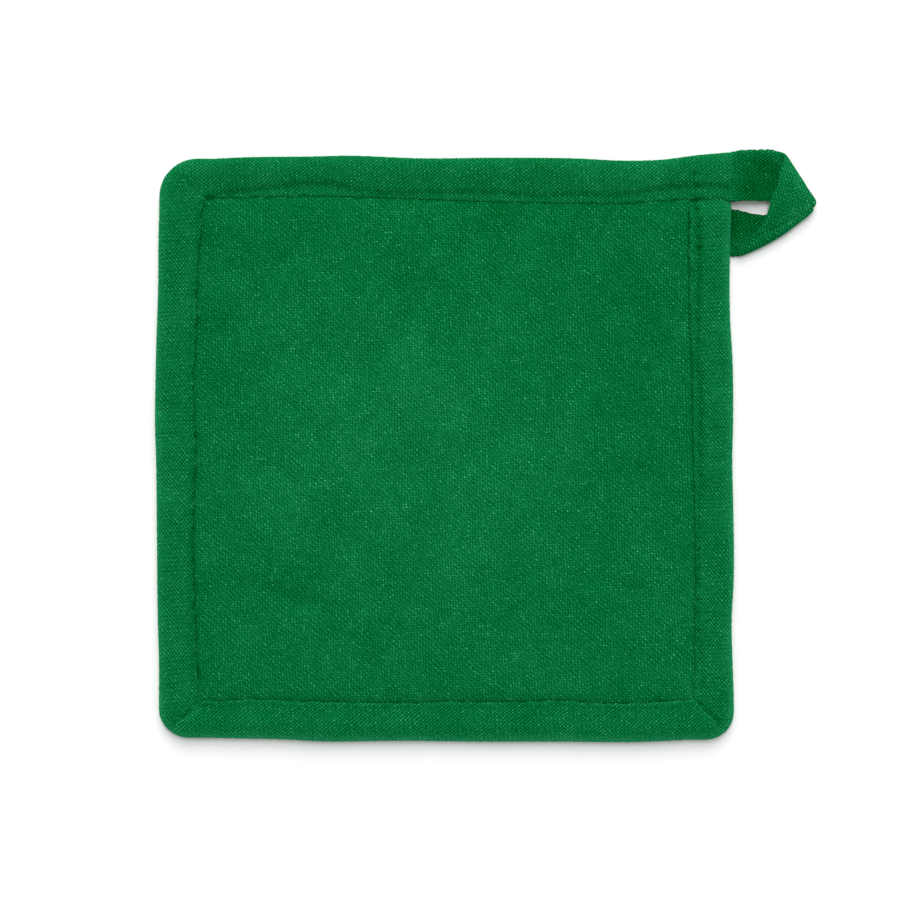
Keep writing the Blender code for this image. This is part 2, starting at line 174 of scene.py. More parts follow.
# Section of the folded tape from its back hem round the bound edge to its front
# hem: distance in from the bound edge, height, share of the loop's tail that
# lifts it, share of a mitre's crease, share of the front's unevenness.
TAPE_FRONT = 13.9
OUTER_RUN = [
    (13.7, 0.55, 1, 0, 0), (13.45, 0.1, 1, 0, 0), (12, 0, 1, 0, 0), (10.4, 0.4, 1, 0, 0),
    (8.8, 0, 1, 0, 0), (5, 0, 1, 0, 0), (2.4, 0, 1, 0, 0), (1.1, 0.4, 0.9, 0, 0.1),
    (0.3, 1.35, 0.6, 0, 0.4), (0, 2.7, 0.35, 0.1, 0.7), (0.35, 4, 0.25, 0.4, 1),
    (1.55, 5.05, 0.25, 0.8, 1), (3.3, 5.6, 0.25, 1, 1), (5.4, 5.7, 0.25, 1, 1), (7.6, 5.35, 0.28, 1, 1),
    (9.2, 5, 0.3, 0.8, 1), (10.4, 4.8, 0.3, 0.6, 1), (11.4, 4.7, 0.3, 0.5, 1),
    (12.5, 4.65, 0.3, 0.5, 1), (13.4, 4.55, 0.3, 0.4, 1), (13.86, 4.25, 0.3, 0.3, 1),
    (13.8, 3.8, 0.3, 0.3, 0.6), (13.4, 3.6, 0.3, 0.3, 0.2),
]
INNER_RUN = [
    (13.4, 3.6, 0.3, 0.3, 0.2), (11.8, 3.45, 0.3, 0.3, 0), (10.4, 3.2, 0.3, 0.6, 0), (8, 4, 0.3, 1, 0),
    (5.4, 4.5, 0.25, 1, 0), (3, 4.1, 0.25, 0.9, 0), (1.2, 2.7, 0.35, 0.1, 0), (2.8, 1, 0.95, 0, 0),
    (8, 1, 1, 0, 0), (13.3, 1, 1, 0, 0), (13.7, 0.55, 1, 0, 0),
]
SPINE_ROW = 9                  # row of OUTER_RUN on the bound edge
GROOVE_IN = 10.4               # stitched groove on the back and the loop, in from the bound edge
BACK_CELLS = 13
FRONT_CELLS = 32
INNER_CELLS = 8
HEM_COLUMNS = 4                # last columns of the front, which turn under its hem
TAPE_CELL = 0.62               # spacing of sections along the tape
CORNER_SECTIONS = 44
RUN_SHARE = 0.2                # where the tape's run is measured: share from fold edge to bound edge
# The loop's tail lifts the right side: place along Y, share of the lift.
TAIL_LIFT = 1.8
TAIL_RECESS = [(57, 0), (61, 0.15), (63.4, 0.8), (65.6, 1), (75, 1), (84.1, 1), (85.8, 0)]
RIGHT_STRIP_START = 88.0       # where the right strip begins, under the top strip
TOP_STRIP_END = 99.0           # where the top strip leaves the pad
CROSSING_DROP = 0.30           # the right strip flattens under the top strip
CROSSING_LIFT = 0.22           # the top strip rises over the right strip
CROSSING_HEIGHT = 3.0          # height at which that rise is full
FLATTENS = (80.0, 7.0)         # where the right strip starts to flatten, and over what length
RISES = (83.6, 3.2)            # the same where the top strip rises
# Needle holes through both strips and down the right one: x, y, how dark. The darkness is painted shade,
# and it also sets how deep each hole dents the front.
NEEDLE_HOLES = [
    (86.7, 95.6, 26), (87.5, 91.5, 20), (86.95, 87.9, 12), (87.6, 86.3, 14), (87.6, 83.6, 24),
    (88.3, 79.6, 14), (88.4, 77.2, 8), (88.8, 73, 13), (88.55, 70, 8),
]
NEEDLE_DEPTH = 0.02            # depth of a needle hole for each step of its darkness
NEEDLE_WIDTH = 0.8
MITRE_WIDTH = 0.9
FAR_AWAY = (1e4, 1e4)          # a place that no mitre's crease reaches
MITRE_TUCK = 28.0              # tape hidden in a mitre's fold
FOLD_NOMINAL = 87.0            # the fold edge's distance out, on the whole

# ------------------------------------------------------------- hanging loop, mm
# Spine x, y, height; hem x, y, height; how far the middle bows from the straight
# line between them, in x, y and height; thickness.
LOOP_RISE = [
    (100.2, 103.6, 3, 100.4, 86, 3, 0, 0, 0.2, 4.2),
    (101.6, 103.9, 3.3, 101.9, 86.1, 3.6, 1.4, 0, 0.3, 3.2),
    (103.2, 104.1, 3.3, 104.4, 86.2, 3.8, 2.2, 0, -0.1, 2.2),
    (105.6, 104.2, 3.2, 107.4, 86.2, 3.5, 2, 0, -0.9, 1.7),
    (108.8, 104.3, 2.9, 111, 86.2, 2.8, 1.2, 0, -1.2, 1.5),
    (111.8, 104.4, 2.4, 115.6, 86.3, 2, 0.6, 0, -0.6, 1.5),
    (113.8, 104.4, 2, 120.8, 86.5, 1.8, 0, 0, 0, 1.5),
]
LOOP_MIDDLE = [
    (116, 94.8, 4.6, 128.5, 84.8, 3.6, 0, 0, 0.5, 1.5),
    (115, 90.2, 4.7, 128.5, 84.6, 3.7, 0, 0, 0.5, 1.5),
    (113.1, 86.2, 4.7, 128.5, 84.4, 3.7, 0, 0, 0.5, 1.5),
    (111.5, 80.7, 4.1, 128.4, 84.2, 3.7, 0, -0.3, 0.4, 1.5),
    (108.8, 76.2, 3.3, 128.2, 84.1, 3.7, 0, -0.5, 0.3, 1.4),
    (103.8, 72.4, 2.6, 127.9, 84.1, 3.7, 0, -0.5, 0.2, 1.2),
    (101.6, 71, 2.3, 127.8, 84.4, 3.7, 0, -0.3, 0.1, 1.2),
]
LOOP_TAIL = [
    (100.9, 67.3, 0.75, 119.2, 82.4, 0.75, 2, -0.5, 0, 1.5),
    (100.7, 67.2, 0.75, 109.6, 81.9, 0.75, 1, -0.2, 0, 1.5),
    (100.4, 67.2, 0.75, 100.4, 83.8, 0.75, 0, 0, 0, 1.5),
    (94, 67.3, 0.75, 94, 83.4, 0.75, 0, 0, 0, 1.5),
    (87.4, 67.3, 0.75, 87.4, 83.3, 0.75, 0, 0, 0, 1.5),
]
# Spine x, y; hem x, y; way the fold bulges; how far it slides along its line as
# it turns; bow of its middle; height of its lower layer and, at the spine and at
# the hem, of its upper layer.
FOLD_FAR = ((116.65, 102.2), (127.45, 85.65), (0.834, 0.552), 4.0, 0.0, 1.9, 4.3, 4.3)
FOLD_NEAR = ((101.3, 68.2), (127.3, 84.85), (0.534, -0.845), 1.4, 1.6, 0.75, 2.4, 3.7)
FOLD_THICKNESS = 1.5
FOLD_STEPS = 10
LOOP_CELL = TAPE_CELL * 0.9
RULING_SPINE = 0.1             # extra weight of the spine in a ruling's place along the loop
LOOP_RUN_SHARE = 0.75          # where the stitches are counted: share from spine to hem
LOOP_GROOVE = 0.22
LOOP_GROOVE_WIDTH = 1.2
LOOP_STITCH_SHARE = 0.4        # how much deeper the groove is at the needle holes
LOOP_NOTCH = 0.5               # depth of the slit between the loop's two hems
LOOP_SLIT = 0.30               # share of the thickness that the slit opens
LOOP_HEM_SHARE = 0.55          # share of the thickness that is left at the very hem
LOOP_FUZZ_SHARE = 0.06         # share of the width, at each edge, that wavers
LOOP_CLOTH_SHIFT = 0.6         # the spine's place across the cloth
LOOP_ORIGIN = (0.0, 103.8)     # a point on the spine's line as it leaves the pad
LEG_FACES = (1.0, -1.0, 1.0)   # which face of the cloth is up in each leg
LOOP_WIDTH = 17.0
SPINE_ROUND = 0.9              # how far in the loop's spine and hems are rounded
HEM_ROUND = 0.5
# Painted shade where the loop's folded layers lie in each other's shade, and painted highlight where the
# levels are positive: leg, middle x, y, length, angle, width, levels.
LOOP_SHADE = [
    (0, 108.9, 93.8, 9, 68, 11, -24), (0, 113.6, 92.6, 12, 75, 5, -14), (0, 103, 97.5, 10, 90, 9, -7),
    (0, 106.4, 85.3, 12, 4, 2.4, -8), (0, 110.5, 103.6, 13, 0, 2.4, 8), (1, 122, 95, 12, -60, 4, 7),
    (1, 123.9, 80, 5, -40, 4, 6), (1, 108, 73.5, 12, 30, 8, -12), (2, 104.6, 78.8, 5, 0, 11, -25),
    (2, 100.6, 76, 15, 90, 3, -10), (1, 122.2, 93.6, 18, -57, 3, 8), (1, 118, 79, 22, 32, 3, 7),
]

# --------------------------------------------------------------- stitches, mm
STITCH_PITCH = 3.6
STITCH_LENGTH = 2.9
THREAD_RADIUS = 0.17
STITCH_SINK = -0.16
STITCH_ARCH = 0.12
THREAD_SIDES = 6
STITCH_RINGS = 7
FIRST_STITCH = 1.0             # how far along its line
STITCH_TAPER = 0.96            # how far a stitch's end narrows towards a point, as a share

# ------------------------------------------------------------------ panel, mm
PANEL_CELL = 0.9
# First grid lines, in from the fold edge.
EDGE_LINES = (0.0, 0.15, 0.32, 0.52, 0.78, 1.1, 1.5, 2.1, 2.9)
HIDDEN_CELLS = 7               # cells of the pad inside the tape, on each side
CHANNEL_DEPTH = 12.2           # how far the pad reaches into the tape
STEP_HEIGHT = 1.35             # how high the underside steps up over the tape's back hem
# Share of the way from the fold edge to the pad's rim, height.
PAD_UPPER = [(0, 3.62), (0.12, 3.1), (0.28, 2.8), (0.48, 3.6), (0.7, 4.1), (0.86, 3.7), (1, 2.6)]
PAD_LOWER = [(0, STEP_HEIGHT), (0.3, STEP_HEIGHT), (0.88, STEP_HEIGHT), (1, 2.6)]
STEP_ROUND = (1.0, 0.2, 5.0)   # how far in the step is rounded, height and reach of its soft foot
FLAT_FROM = 20.0               # how far in the underside is flat
PRESSED_TOP = 3.2              # the pad's corner, flat under the crossing strips
LEAST_PAD = 0.3                # least thickness of the pad's edge
TAIL_UPPER, TAIL_LOWER = 0.3, 0.95    # shares of the tail's lift above and below
TAIL_STEEPNESS = 8.0           # how soon past the fold edge the tail lifts the pad
# The panel's rise in from the fold edge: height, reach.
EDGE_ROLL = (0.50, 0.45)
SHOULDER = (0.6, 2.0)
DOME = (2.6, 30.0)
PUFF_REACH = 11.0
PANEL_UNEVEN = ((0.16, 26.0, 11), (0.08, 9.0, 12))    # size, wavelength, seed
# Puckers of the needle holes: height, reach, how far and over what wavelength
# their spacing drifts, wavelength over which they come and go, seeds of the two.
PUCKER_HEIGHT, PUCKER_REACH = 0.10, 3.0
PUCKER_DRIFT, PUCKER_WAVELENGTH, PUCKER_FADE = 2.0, 30.0, 25.0
PUCKER_SEEDS = ((21, 31), (22, 32), (23, 33), (24, 34))
# Middle x, y, length, angle, width, height of each soft crease or swell.
PANEL_RELIEF = [
    (-62.7, -49.4, 41, -14, 7, -0.6), (25, -43.8, 24, 7, 7, -0.5), (62.9, -48.3, 36, -9, 7, -0.6),
    (1.3, -56.5, 18, 90, 7, -0.4), (-62, 58.8, 55, 46, 8, -0.5), (-4.9, 56, 71, 50, 8, -0.6),
    (64.6, 53.6, 63, -53, 8, -0.5), (65, -7.7, 6, 0, 8, -0.5), (35, -24.3, 6, 0, 8, -0.5),
    (-16.8, 20.5, 30, 20, 22, 0.6), (40, 12, 24, -40, 18, 0.3), (-50, -20, 26, 60, 18, 0.3),
]

# ------------------------------------------------------------- cloth and light
PANEL_WARP = (0.97, 91.5)      # thread spacing in mm, the way the threads run in degrees
PANEL_WEFT = (0.89, 1.5)
TAPE_WARP = (0.97, -40.0)
TAPE_WEFT = (0.87, 39.0)
CLOTH_RED_STEP = 107.5         # how far red lies under green, of 255
CLOTH_BLUE_STEP = 54.6         # how far blue lies under green
MIDDLE_LIGHT = (-15.0, 5.0, 55.0, 6.0, -4.0)    # painted light, lighter in the middle and darker at the edges: x, y, reach, levels there, levels at the edges
RELIEF_SHADING = 4.0              # painted shade in creases and painted light on swells: levels for each mm of a crease or swell
# Painted light beside the hem, or painted shade where negative: how much lighter the panel is there,
# levels, reach.
EDGE_LIGHT = {RIGHT: (1, 1.6), BOTTOM: (-7, 3), LEFT: (-3, 1.6), TOP: (-7, 1.6)}
UPWARD_SHADE = 2.2                # painted light and shade: levels from the middle to the lower edge, and back to the upper; the panel is lighter towards the lower edge and darker towards the upper one
# Painted light and shade along the fold edge on the panel's side: seeds of its unevenness, and its reach.
PANEL_SEAM_SHADE_SEEDS = (41, 42, 43, 44)
PANEL_SEAM_SHADE_REACH = 0.6
LIGHT_LEVEL = 1.25             # how brightly the lamps light the front
RAMP_LOW, RAMP_HIGH, RAMP_STOPS = 60.0, 180.0, 9
# Levels of the weave's parts: the mean, the ridges of the threads and of the
# slanting ribs, each crossing's own, the fibres, streaks, pale flecks and clouds.
PANEL_WEAVE = {
    "Tone": 112.0, "Warp tone": 9.5, "Weft tone": 6.3, "Rib tone": 8.4, "Crossing tone": 28.0,
    "Fibre tone": 130.0, "Streak tone": 14.0, "Fleck tone": 42.0, "Cloud tone": 24.0,
}
TAPE_WEAVE = {
    "Tone": 110.0, "Warp tone": 14.5, "Weft tone": 12.5, "Rib tone": 5.0, "Crossing tone": 28.0,
    "Fibre tone": 118.0, "Streak tone": 9.0, "Fleck tone": 28.0, "Cloud tone": 24.0,
}
THREAD_TONE = 106.0
# How the threads stray: noise scale, detail, distance in m.
STRAYS = ((90.0, 2.0, 0.0022), (700.0, 1.0, 0.0005))
STREAK_STRETCH = 0.2           # a streak is five threads long
WARP_STREAKS, WEFT_STREAKS = 5.17, 5.31    # how far apart two threads' streaks are read
WEFT_STREAK_START = 90.0
FIBRES_ALONG, FIBRES_ACROSS = 2.6, 2.1    # fibres for each thread
FLECK_RARENESS = 14.0
CLOUD_SCALE, CLOUD_DETAIL = 75.0, 3.0
FIBRE_RISE = 3.0               # height of the fibres beside that of the ridges
BUMP_STRENGTH, BUMP_HEIGHT = 0.5, 0.03
CLOTH_SHADER = {
    "Roughness": 0.95, "Specular IOR Level": 0.0, "Sheen Weight": 0.25, "Sheen Roughness": 0.5,
    "Sheen Tint": (0.0, 1.0, 0.36, 1.0),
}
THREAD_ROUGHNESS = 0.7

FLOOR_SIZE = 6.0               # m
FLOOR_LEVEL = -0.2             # mm
FLOOR_COLOR = (0.94, 0.94, 0.94, 1.0)
FLOOR_ROUGHNESS = 0.9
SKY = {"Color": (1.0, 1.0, 1.0, 1.0), "Strength": 0.45}
LAMPS = {                      # place and size in m, power in W
    "key_softbox": ((0.08, 2.52, 1.97), 2.2, 62.4),
    "top_softbox": ((0.0, 0.9, 2.77), 1.3, 36.8),
}
CAMERA_CENTRE = (1.83, -0.18)  # what the camera looks straight down on, mm
OUTLINE_HEIGHT = 2.7           # height of the outline that it sees, mm
FRAME_WIDTH = 313.0            # width of the picture at that height, mm
CAMERA_LENS = 100.0
SENSOR = 36.0


# ------------------------------------------------------------------ arithmetic
def through(rows, place):
    """Smooth curve through a table's rows, at an array of places. Between two
    rows it is the cubic that has the rows' values and their mean slopes. The
    table may have one column of values or several."""
    table = np.array(rows, float)
    x, y = table[:, 0], table[:, 1:]
    slope = np.gradient(y, x, axis=0)
    k = np.clip(np.searchsorted(x, place) - 1, 0, len(x) - 2)
    span = (x[k + 1] - x[k])[..., None]
    s = np.clip((place - x[k])[..., None] / span, 0.0, 1.0)
    value = (y[k] * (1 + 2 * s) * (1 - s) ** 2 + slope[k] * span * s * (1 - s) ** 2
             + y[k + 1] * s * s * (3 - 2 * s) + slope[k + 1] * span * s * s * (s - 1))
    return value[..., 0] if y.shape[1] == 1 else value


def ease(value):
    """0 below 0, 1 above 1, and a smooth step between."""
    s = np.clip(value, 0.0, 1.0)
    return s * s * (3.0 - 2.0 * s)


def bump(distance, width):
    """Bell curve: 1 at no distance, falling to 1/e at one width."""
    return np.exp(-(distance / width) ** 2)


def run_length(points):
    """Distance run along rows of points, from the first."""
    steps = np.linalg.norm(np.diff(points, axis=0), axis=-1)
    return np.concatenate([[0.0], np.cumsum(steps)])


def bell_line(x, y, middle_x, middle_y, length, angle, width, height):
    """Bell curve of the distance from a line of a middle, length and angle."""
    turn = np.radians(angle)
    along = (x - middle_x) * np.cos(turn) + (y - middle_y) * np.sin(turn)
    across = (y - middle_y) * np.cos(turn) - (x - middle_x) * np.sin(turn)
    past_end = np.maximum(np.abs(along) - length / 2.0, 0.0)
    return height * bump(np.hypot(past_end, across), width / 2.0)


def wander(along, wavelength, seed):
    """Uneven line of mean 0 and size about 1: a sum of sine waves whose lengths
    are spread round one wavelength, with seeded phases."""
    draw = np.random.default_rng(seed)
    turns = 2 * np.pi / (wavelength * draw.uniform(*WAVE_SPREAD, LINE_WAVES))
    phases = draw.uniform(0, 2 * np.pi, LINE_WAVES)
    return np.sin(np.multiply.outer(along, turns) + phases).sum(-1) / np.sqrt(LINE_WAVES / 2)


def uneven(along, *rows):
    """Sum of uneven lines, each of a size, a wavelength and a seed."""
    return sum(size * wander(along, wavelength, seed) for size, wavelength, seed in rows)


def unevenness(x, y, wavelength, seed):
    """Uneven surface of mean 0 and size about 1: a sum of plane waves whose
    lengths are spread round one wavelength, in seeded directions."""
    draw = np.random.default_rng(seed)
    turns = 2 * np.pi / (wavelength * draw.uniform(*WAVE_SPREAD, SURFACE_WAVES))
    angles = draw.uniform(0, np.pi, SURFACE_WAVES)
    phases = draw.uniform(0, 2 * np.pi, SURFACE_WAVES)
    total = np.zeros(np.broadcast(x, y).shape)
    for turn, angle, phase in zip(turns, angles, phases):
        total += np.sin(turn * (x * np.cos(angle) + y * np.sin(angle)) + phase)
    return total / np.sqrt(SURFACE_WAVES / 2)


def unit(vectors):
    """Vectors over their own lengths."""
    return vectors / np.linalg.norm(vectors, axis=-1, keepdims=True)


# ----------------------------------------------------------------- mesh making
def grid_quads(rows, columns, closed=False):
    """Corners of a grid's cells, in turn: row after row, and once round when
    the columns are closed."""
    i = np.arange(rows - 1)[:, None]
    j = np.arange(columns if closed else columns - 1)[None, :]
    k = (j + 1) % columns
    corners = (i * columns + j, i * columns + k, (i + 1) * columns + k, (i + 1) * columns + j)
    return np.stack(corners, axis=-1).reshape(-1, 4)


def volume_of(points, quads):
    """Signed volume inside the cells, as a sum of pyramids from the origin."""
    a, b, c, d = (points[quads[:, k]] for k in range(4))
    return float((a * (np.cross(b, c) + np.cross(c, d))).sum() / 6.0)


def make_piece(name, points, faces, material, uv=None, shade=None):
    """Object at the origin from points in mm and faces. A piece whose cloth follows it has each corner's
    place on the flat cloth in mm, and each point may have a tone of painted light and shade by which its
    cloth is lighter or darker."""
    mesh = bpy.data.meshes.new(name)
    mesh.from_pydata((points * MM).tolist(), [], faces)
    if uv is not None:
        layer = mesh.uv_layers.new(name="cloth")
        layer.data.foreach_set("uv", (uv * MM).astype(np.float32).ravel())
    if shade is not None:
        tones = mesh.attributes.new("shade", "FLOAT", "POINT")
        tones.data.foreach_set("value", shade.astype(np.float32).ravel())
    mesh.materials.append(material)
    mesh.shade_smooth()
    mesh.validate()
    piece = bpy.data.objects.new(name, mesh)
    bpy.context.scene.collection.objects.link(piece)
    return piece


# ------------------------------------------------------------- path of the tape
def side_stations(side, start, end):
    """Points of a side on the bound edge and on the fold edge, at even steps
    along the side. Both edges wander as their tables say."""
    along = np.linspace(start, end, int(abs(end - start) / TAPE_CELL) + 1)
    sign = ALONG[side].sum()
    return [along[:, None] * ALONG[side] + through(edge[side], along * sign)[:, None] * OUT[side]
            for edge in (EDGE, FOLD)]


def rounded_reach(center, rays, corner, radius):
    """How far rays from the centre go to the two sides through the corner. Past
    the start of the arc they stop at the circle that touches both sides. With w
    the way from the arc's middle to the centre and b its part along the ray,
    that is at -b + sqrt(b^2 - w^2 + radius^2). Each ray may have a corner and a
    radius of its own."""
    reach = corner - center
    side = np.abs(reach / rays).min(axis=-1)
    sign = np.sign(reach)
    arc = corner - sign * np.reshape(radius, (-1, 1))
    past = (center + rays * side[:, None] - arc) * sign
    start = center - arc
    b = (rays * start).sum(-1)
    turned = -b + np.sqrt(np.maximum(b * b - (start * start).sum(-1) + radius * radius, 0.0))
    return np.where((past > 0).all(axis=1), turned, side)


def corner_stations(before, after, side, radius):
    """Stations that fan round a corner from the side before on to this side.
    The rays start at the middle of the fold edge's small arc."""
    inward = -OUT[side - 1]
    center = before[1][-1] + inward * FOLD_RADIUS[side]
    outer_before, outer_after = before[0][-1], after[0][0]
    along_x = abs(OUT[side - 1][0]) > 0.5
    corner = np.array([(outer_before if along_x else outer_after)[0],
                       (outer_after if along_x else outer_before)[1]])
    angle = np.linspace(0.0, np.pi / 2, CORNER_SECTIONS + 1)[1:-1, None]
    rays = OUT[side - 1] * np.cos(angle) + OUT[side] * np.sin(angle)
    outer = center + rays * rounded_reach(center, rays, corner, radius)[:, None]
    return outer, center + rays * FOLD_RADIUS[side]


def bound_path():
    """Stations of the tape from the top of the right side down, round three
    mitred corners and along the top. Returns points on the bound edge and on
    the fold edge, the side that each belongs to going in and coming out, and
    each station's nearest mitre: its centre, its way out and its crease."""
    first = np.array([FOLD[side][0][1] for side in range(4)])
    last = np.array([FOLD[side][-1][1] for side in range(4)])
    limits = [
        (-RIGHT_STRIP_START, last[BOTTOM] - FOLD_RADIUS[BOTTOM]),
        (-first[RIGHT] + FOLD_RADIUS[BOTTOM], first[LEFT] - FOLD_RADIUS[LEFT]),
        (-first[BOTTOM] + FOLD_RADIUS[LEFT], first[TOP] - FOLD_RADIUS[TOP]),
        (-last[LEFT] + FOLD_RADIUS[TOP], TOP_STRIP_END),
    ]
    sides = [side_stations(side, *limits[side]) for side in range(4)]
    stretches = []

    def keep(points, side_in, side_out, center, way, crease):
        shape = points[0].shape
        stretches.append((*points, side_in, side_out, np.broadcast_to(center, shape),
                          np.broadcast_to(way, shape), np.full(len(points[0]), crease)))

    for side in range(4):
        if side > 0:
            turn = corner_stations(sides[side - 1], sides[side], side, CORNER_RADIUS[side])
            center = sides[side - 1][1][-1] - OUT[side - 1] * FOLD_RADIUS[side]
            way = (OUT[side - 1] + OUT[side]) / np.sqrt(2.0)
            order = np.arange(1, CORNER_SECTIONS) * 2 - CORNER_SECTIONS
            keep(turn, np.where(order <= 0, side - 1, side), np.where(order < 0, side - 1, side),
                 center, way, MITRE_CREASE[side])
        whole = np.full(len(sides[side][0]), side)
        keep(sides[side], whole, whole, FAR_AWAY, OUT[side], 0.0)
    return [np.concatenate(part) for part in zip(*stretches)]


# -------------------------------------------------------------------- the tape
def sampled_run(rows, cells):
    """A section's run at even steps of its length, through its rows."""
    table = np.array(rows)
    length = run_length(table[:, :2])
    at = np.linspace(0.0, length[-1], cells + 1)
    return through(np.column_stack([length, table]), at)


def tape_section():
    """Section of the tape, once round: inward distance, height, shares, and the
    distance along the cloth from the bound edge, front positive."""
    back = sampled_run(OUTER_RUN[:SPINE_ROW + 1], BACK_CELLS)[:-1]
    front = sampled_run(OUTER_RUN[SPINE_ROW:], FRONT_CELLS)
    inner = sampled_run(INNER_RUN, INNER_CELLS)[1:-1]
    section = np.concatenate([back, front, inner])
    cloth = run_length(section[:, :2])
    spine = cloth[BACK_CELLS]
    last = cloth[-1] + np.linalg.norm(section[0, :2] - section[-1, :2])
    return section, cloth - spine, last - spine


SECTION, CLOTH, CLOTH_END = tape_section()
IN, HIGH, TAIL_SHARE, MITRE_SHARE, FRONT = SECTION.T
OUTER_CELLS = BACK_CELLS + FRONT_CELLS
UPPER = np.where(np.arange(len(IN)) > OUTER_CELLS, 0.0, np.sign(CLOTH))
BACK_GROOVE = int(np.argmin(np.abs(IN[:BACK_CELLS] - GROOVE_IN)))


def cloth_starts():
    """Place along the tape at which each side's own measure is 0. A mitre
    hides a tuck of tape."""
    return RIGHT_STRIP_START + np.arange(4) * (2.0 * FOLD_NOMINAL + MITRE_TUCK)


def flat_place(points, side, start):
    """Place on the flat tape of points on the bound edge, seen as part of one
    side: along the side, and across by how far out they lie."""
    along = (points[..., :2] * ALONG[side][:, None, :]).sum(-1) + start[side][:, None]
    out = (points[..., :2] * OUT[side][:, None, :]).sum(-1) - FOLD_NOMINAL
    across = CLOTH - UPPER * (out - (TAPE_FRONT - IN))
    return np.stack([along, across], axis=-1)


def by_side(values, going_in, inner):
    """A value of the side tables at each station."""
    along = np.where(np.abs(ALONG[going_in][:, 0]) > 0.5, inner[:, 0], inner[:, 1])
    every = np.array([through(values[side], along) for side in range(4)])
    return every[going_in, np.arange(len(inner))][:, None]


def painted_crease_shade(x, y):
    """Sum of the short creases' painted shade and highlights."""
    return sum(bell_line(x, y, *row) for row in CREASE_SHADE)


def side_value(values, going_in):
    """A side's own value at each station: the mean over a stretch as long as a
    corner, so that it passes smoothly from one side to the next."""
    steps = np.array([values[side] for side in range(4)])[going_in]
    half = CORNER_SECTIONS // 2
    share = np.full(2 * half + 1, 1.0 / (2 * half + 1))
    return np.convolve(np.pad(steps, half, mode="edge"), share, mode="valid")[:, None]


def front_relief(run, from_fold, groove_at, at_hole, side_own):
    """How far the front lies above its section: its crest rolls, and it sinks
    from the crest to the hem, by the groove, its needle holes and the lip."""
    beside = from_fold - groove_at
    sink = side_own(SINK) * (1.0 - ease((beside + GROOVE_SIDE) / SINK_REACH))
    groove = side_own(GROOVE_DEPTH) * (1.0 + uneven(run, GROOVE_WAVE)) * bump(beside, GROOVE_WIDTH)
    groove += side_own(HOLE_DEPTH) * at_hole * bump(beside, HOLE_WIDTH)
    lip = uneven(run, LIP_WAVE) * bump(from_fold - groove_at * LIP_PLACE, LIP_WIDTH)
    roll = bump(IN - CREST_IN, CREST_WIDTH) * uneven(run, *CREST_WAVES)
    return roll - sink - groove - lip


def front_painted_shading(run, from_fold, beside, at_hole, side_own, groove_shade, fold_shade):
    """How much lighter the front's cloth is, all as painted light and shade. It has a painted highlight
    at the rim, and painted shade in the groove, at its needle holes and along the fold edge."""
    tone = side_own(RIM_HIGHLIGHT) * bump(IN, RIM_HIGHLIGHT_REACH) + side_own(STRIP_LIGHT)
    tone = tone - groove_shade * bump(beside, GROOVE_SHADE_WIDTH)
    tone = tone - fold_shade * bump(from_fold, side_own(FOLD_SHADE_REACH))
    tone = tone + side_own(SEAM_SHADE) * uneven(run, SEAM_SHADE_WAVE) * bump(from_fold, SEAM_SHADE_WIDTH)
    return tone - side_own(HOLE_SHADE) * at_hole * bump(beside, HOLE_SHADE_WIDTH)


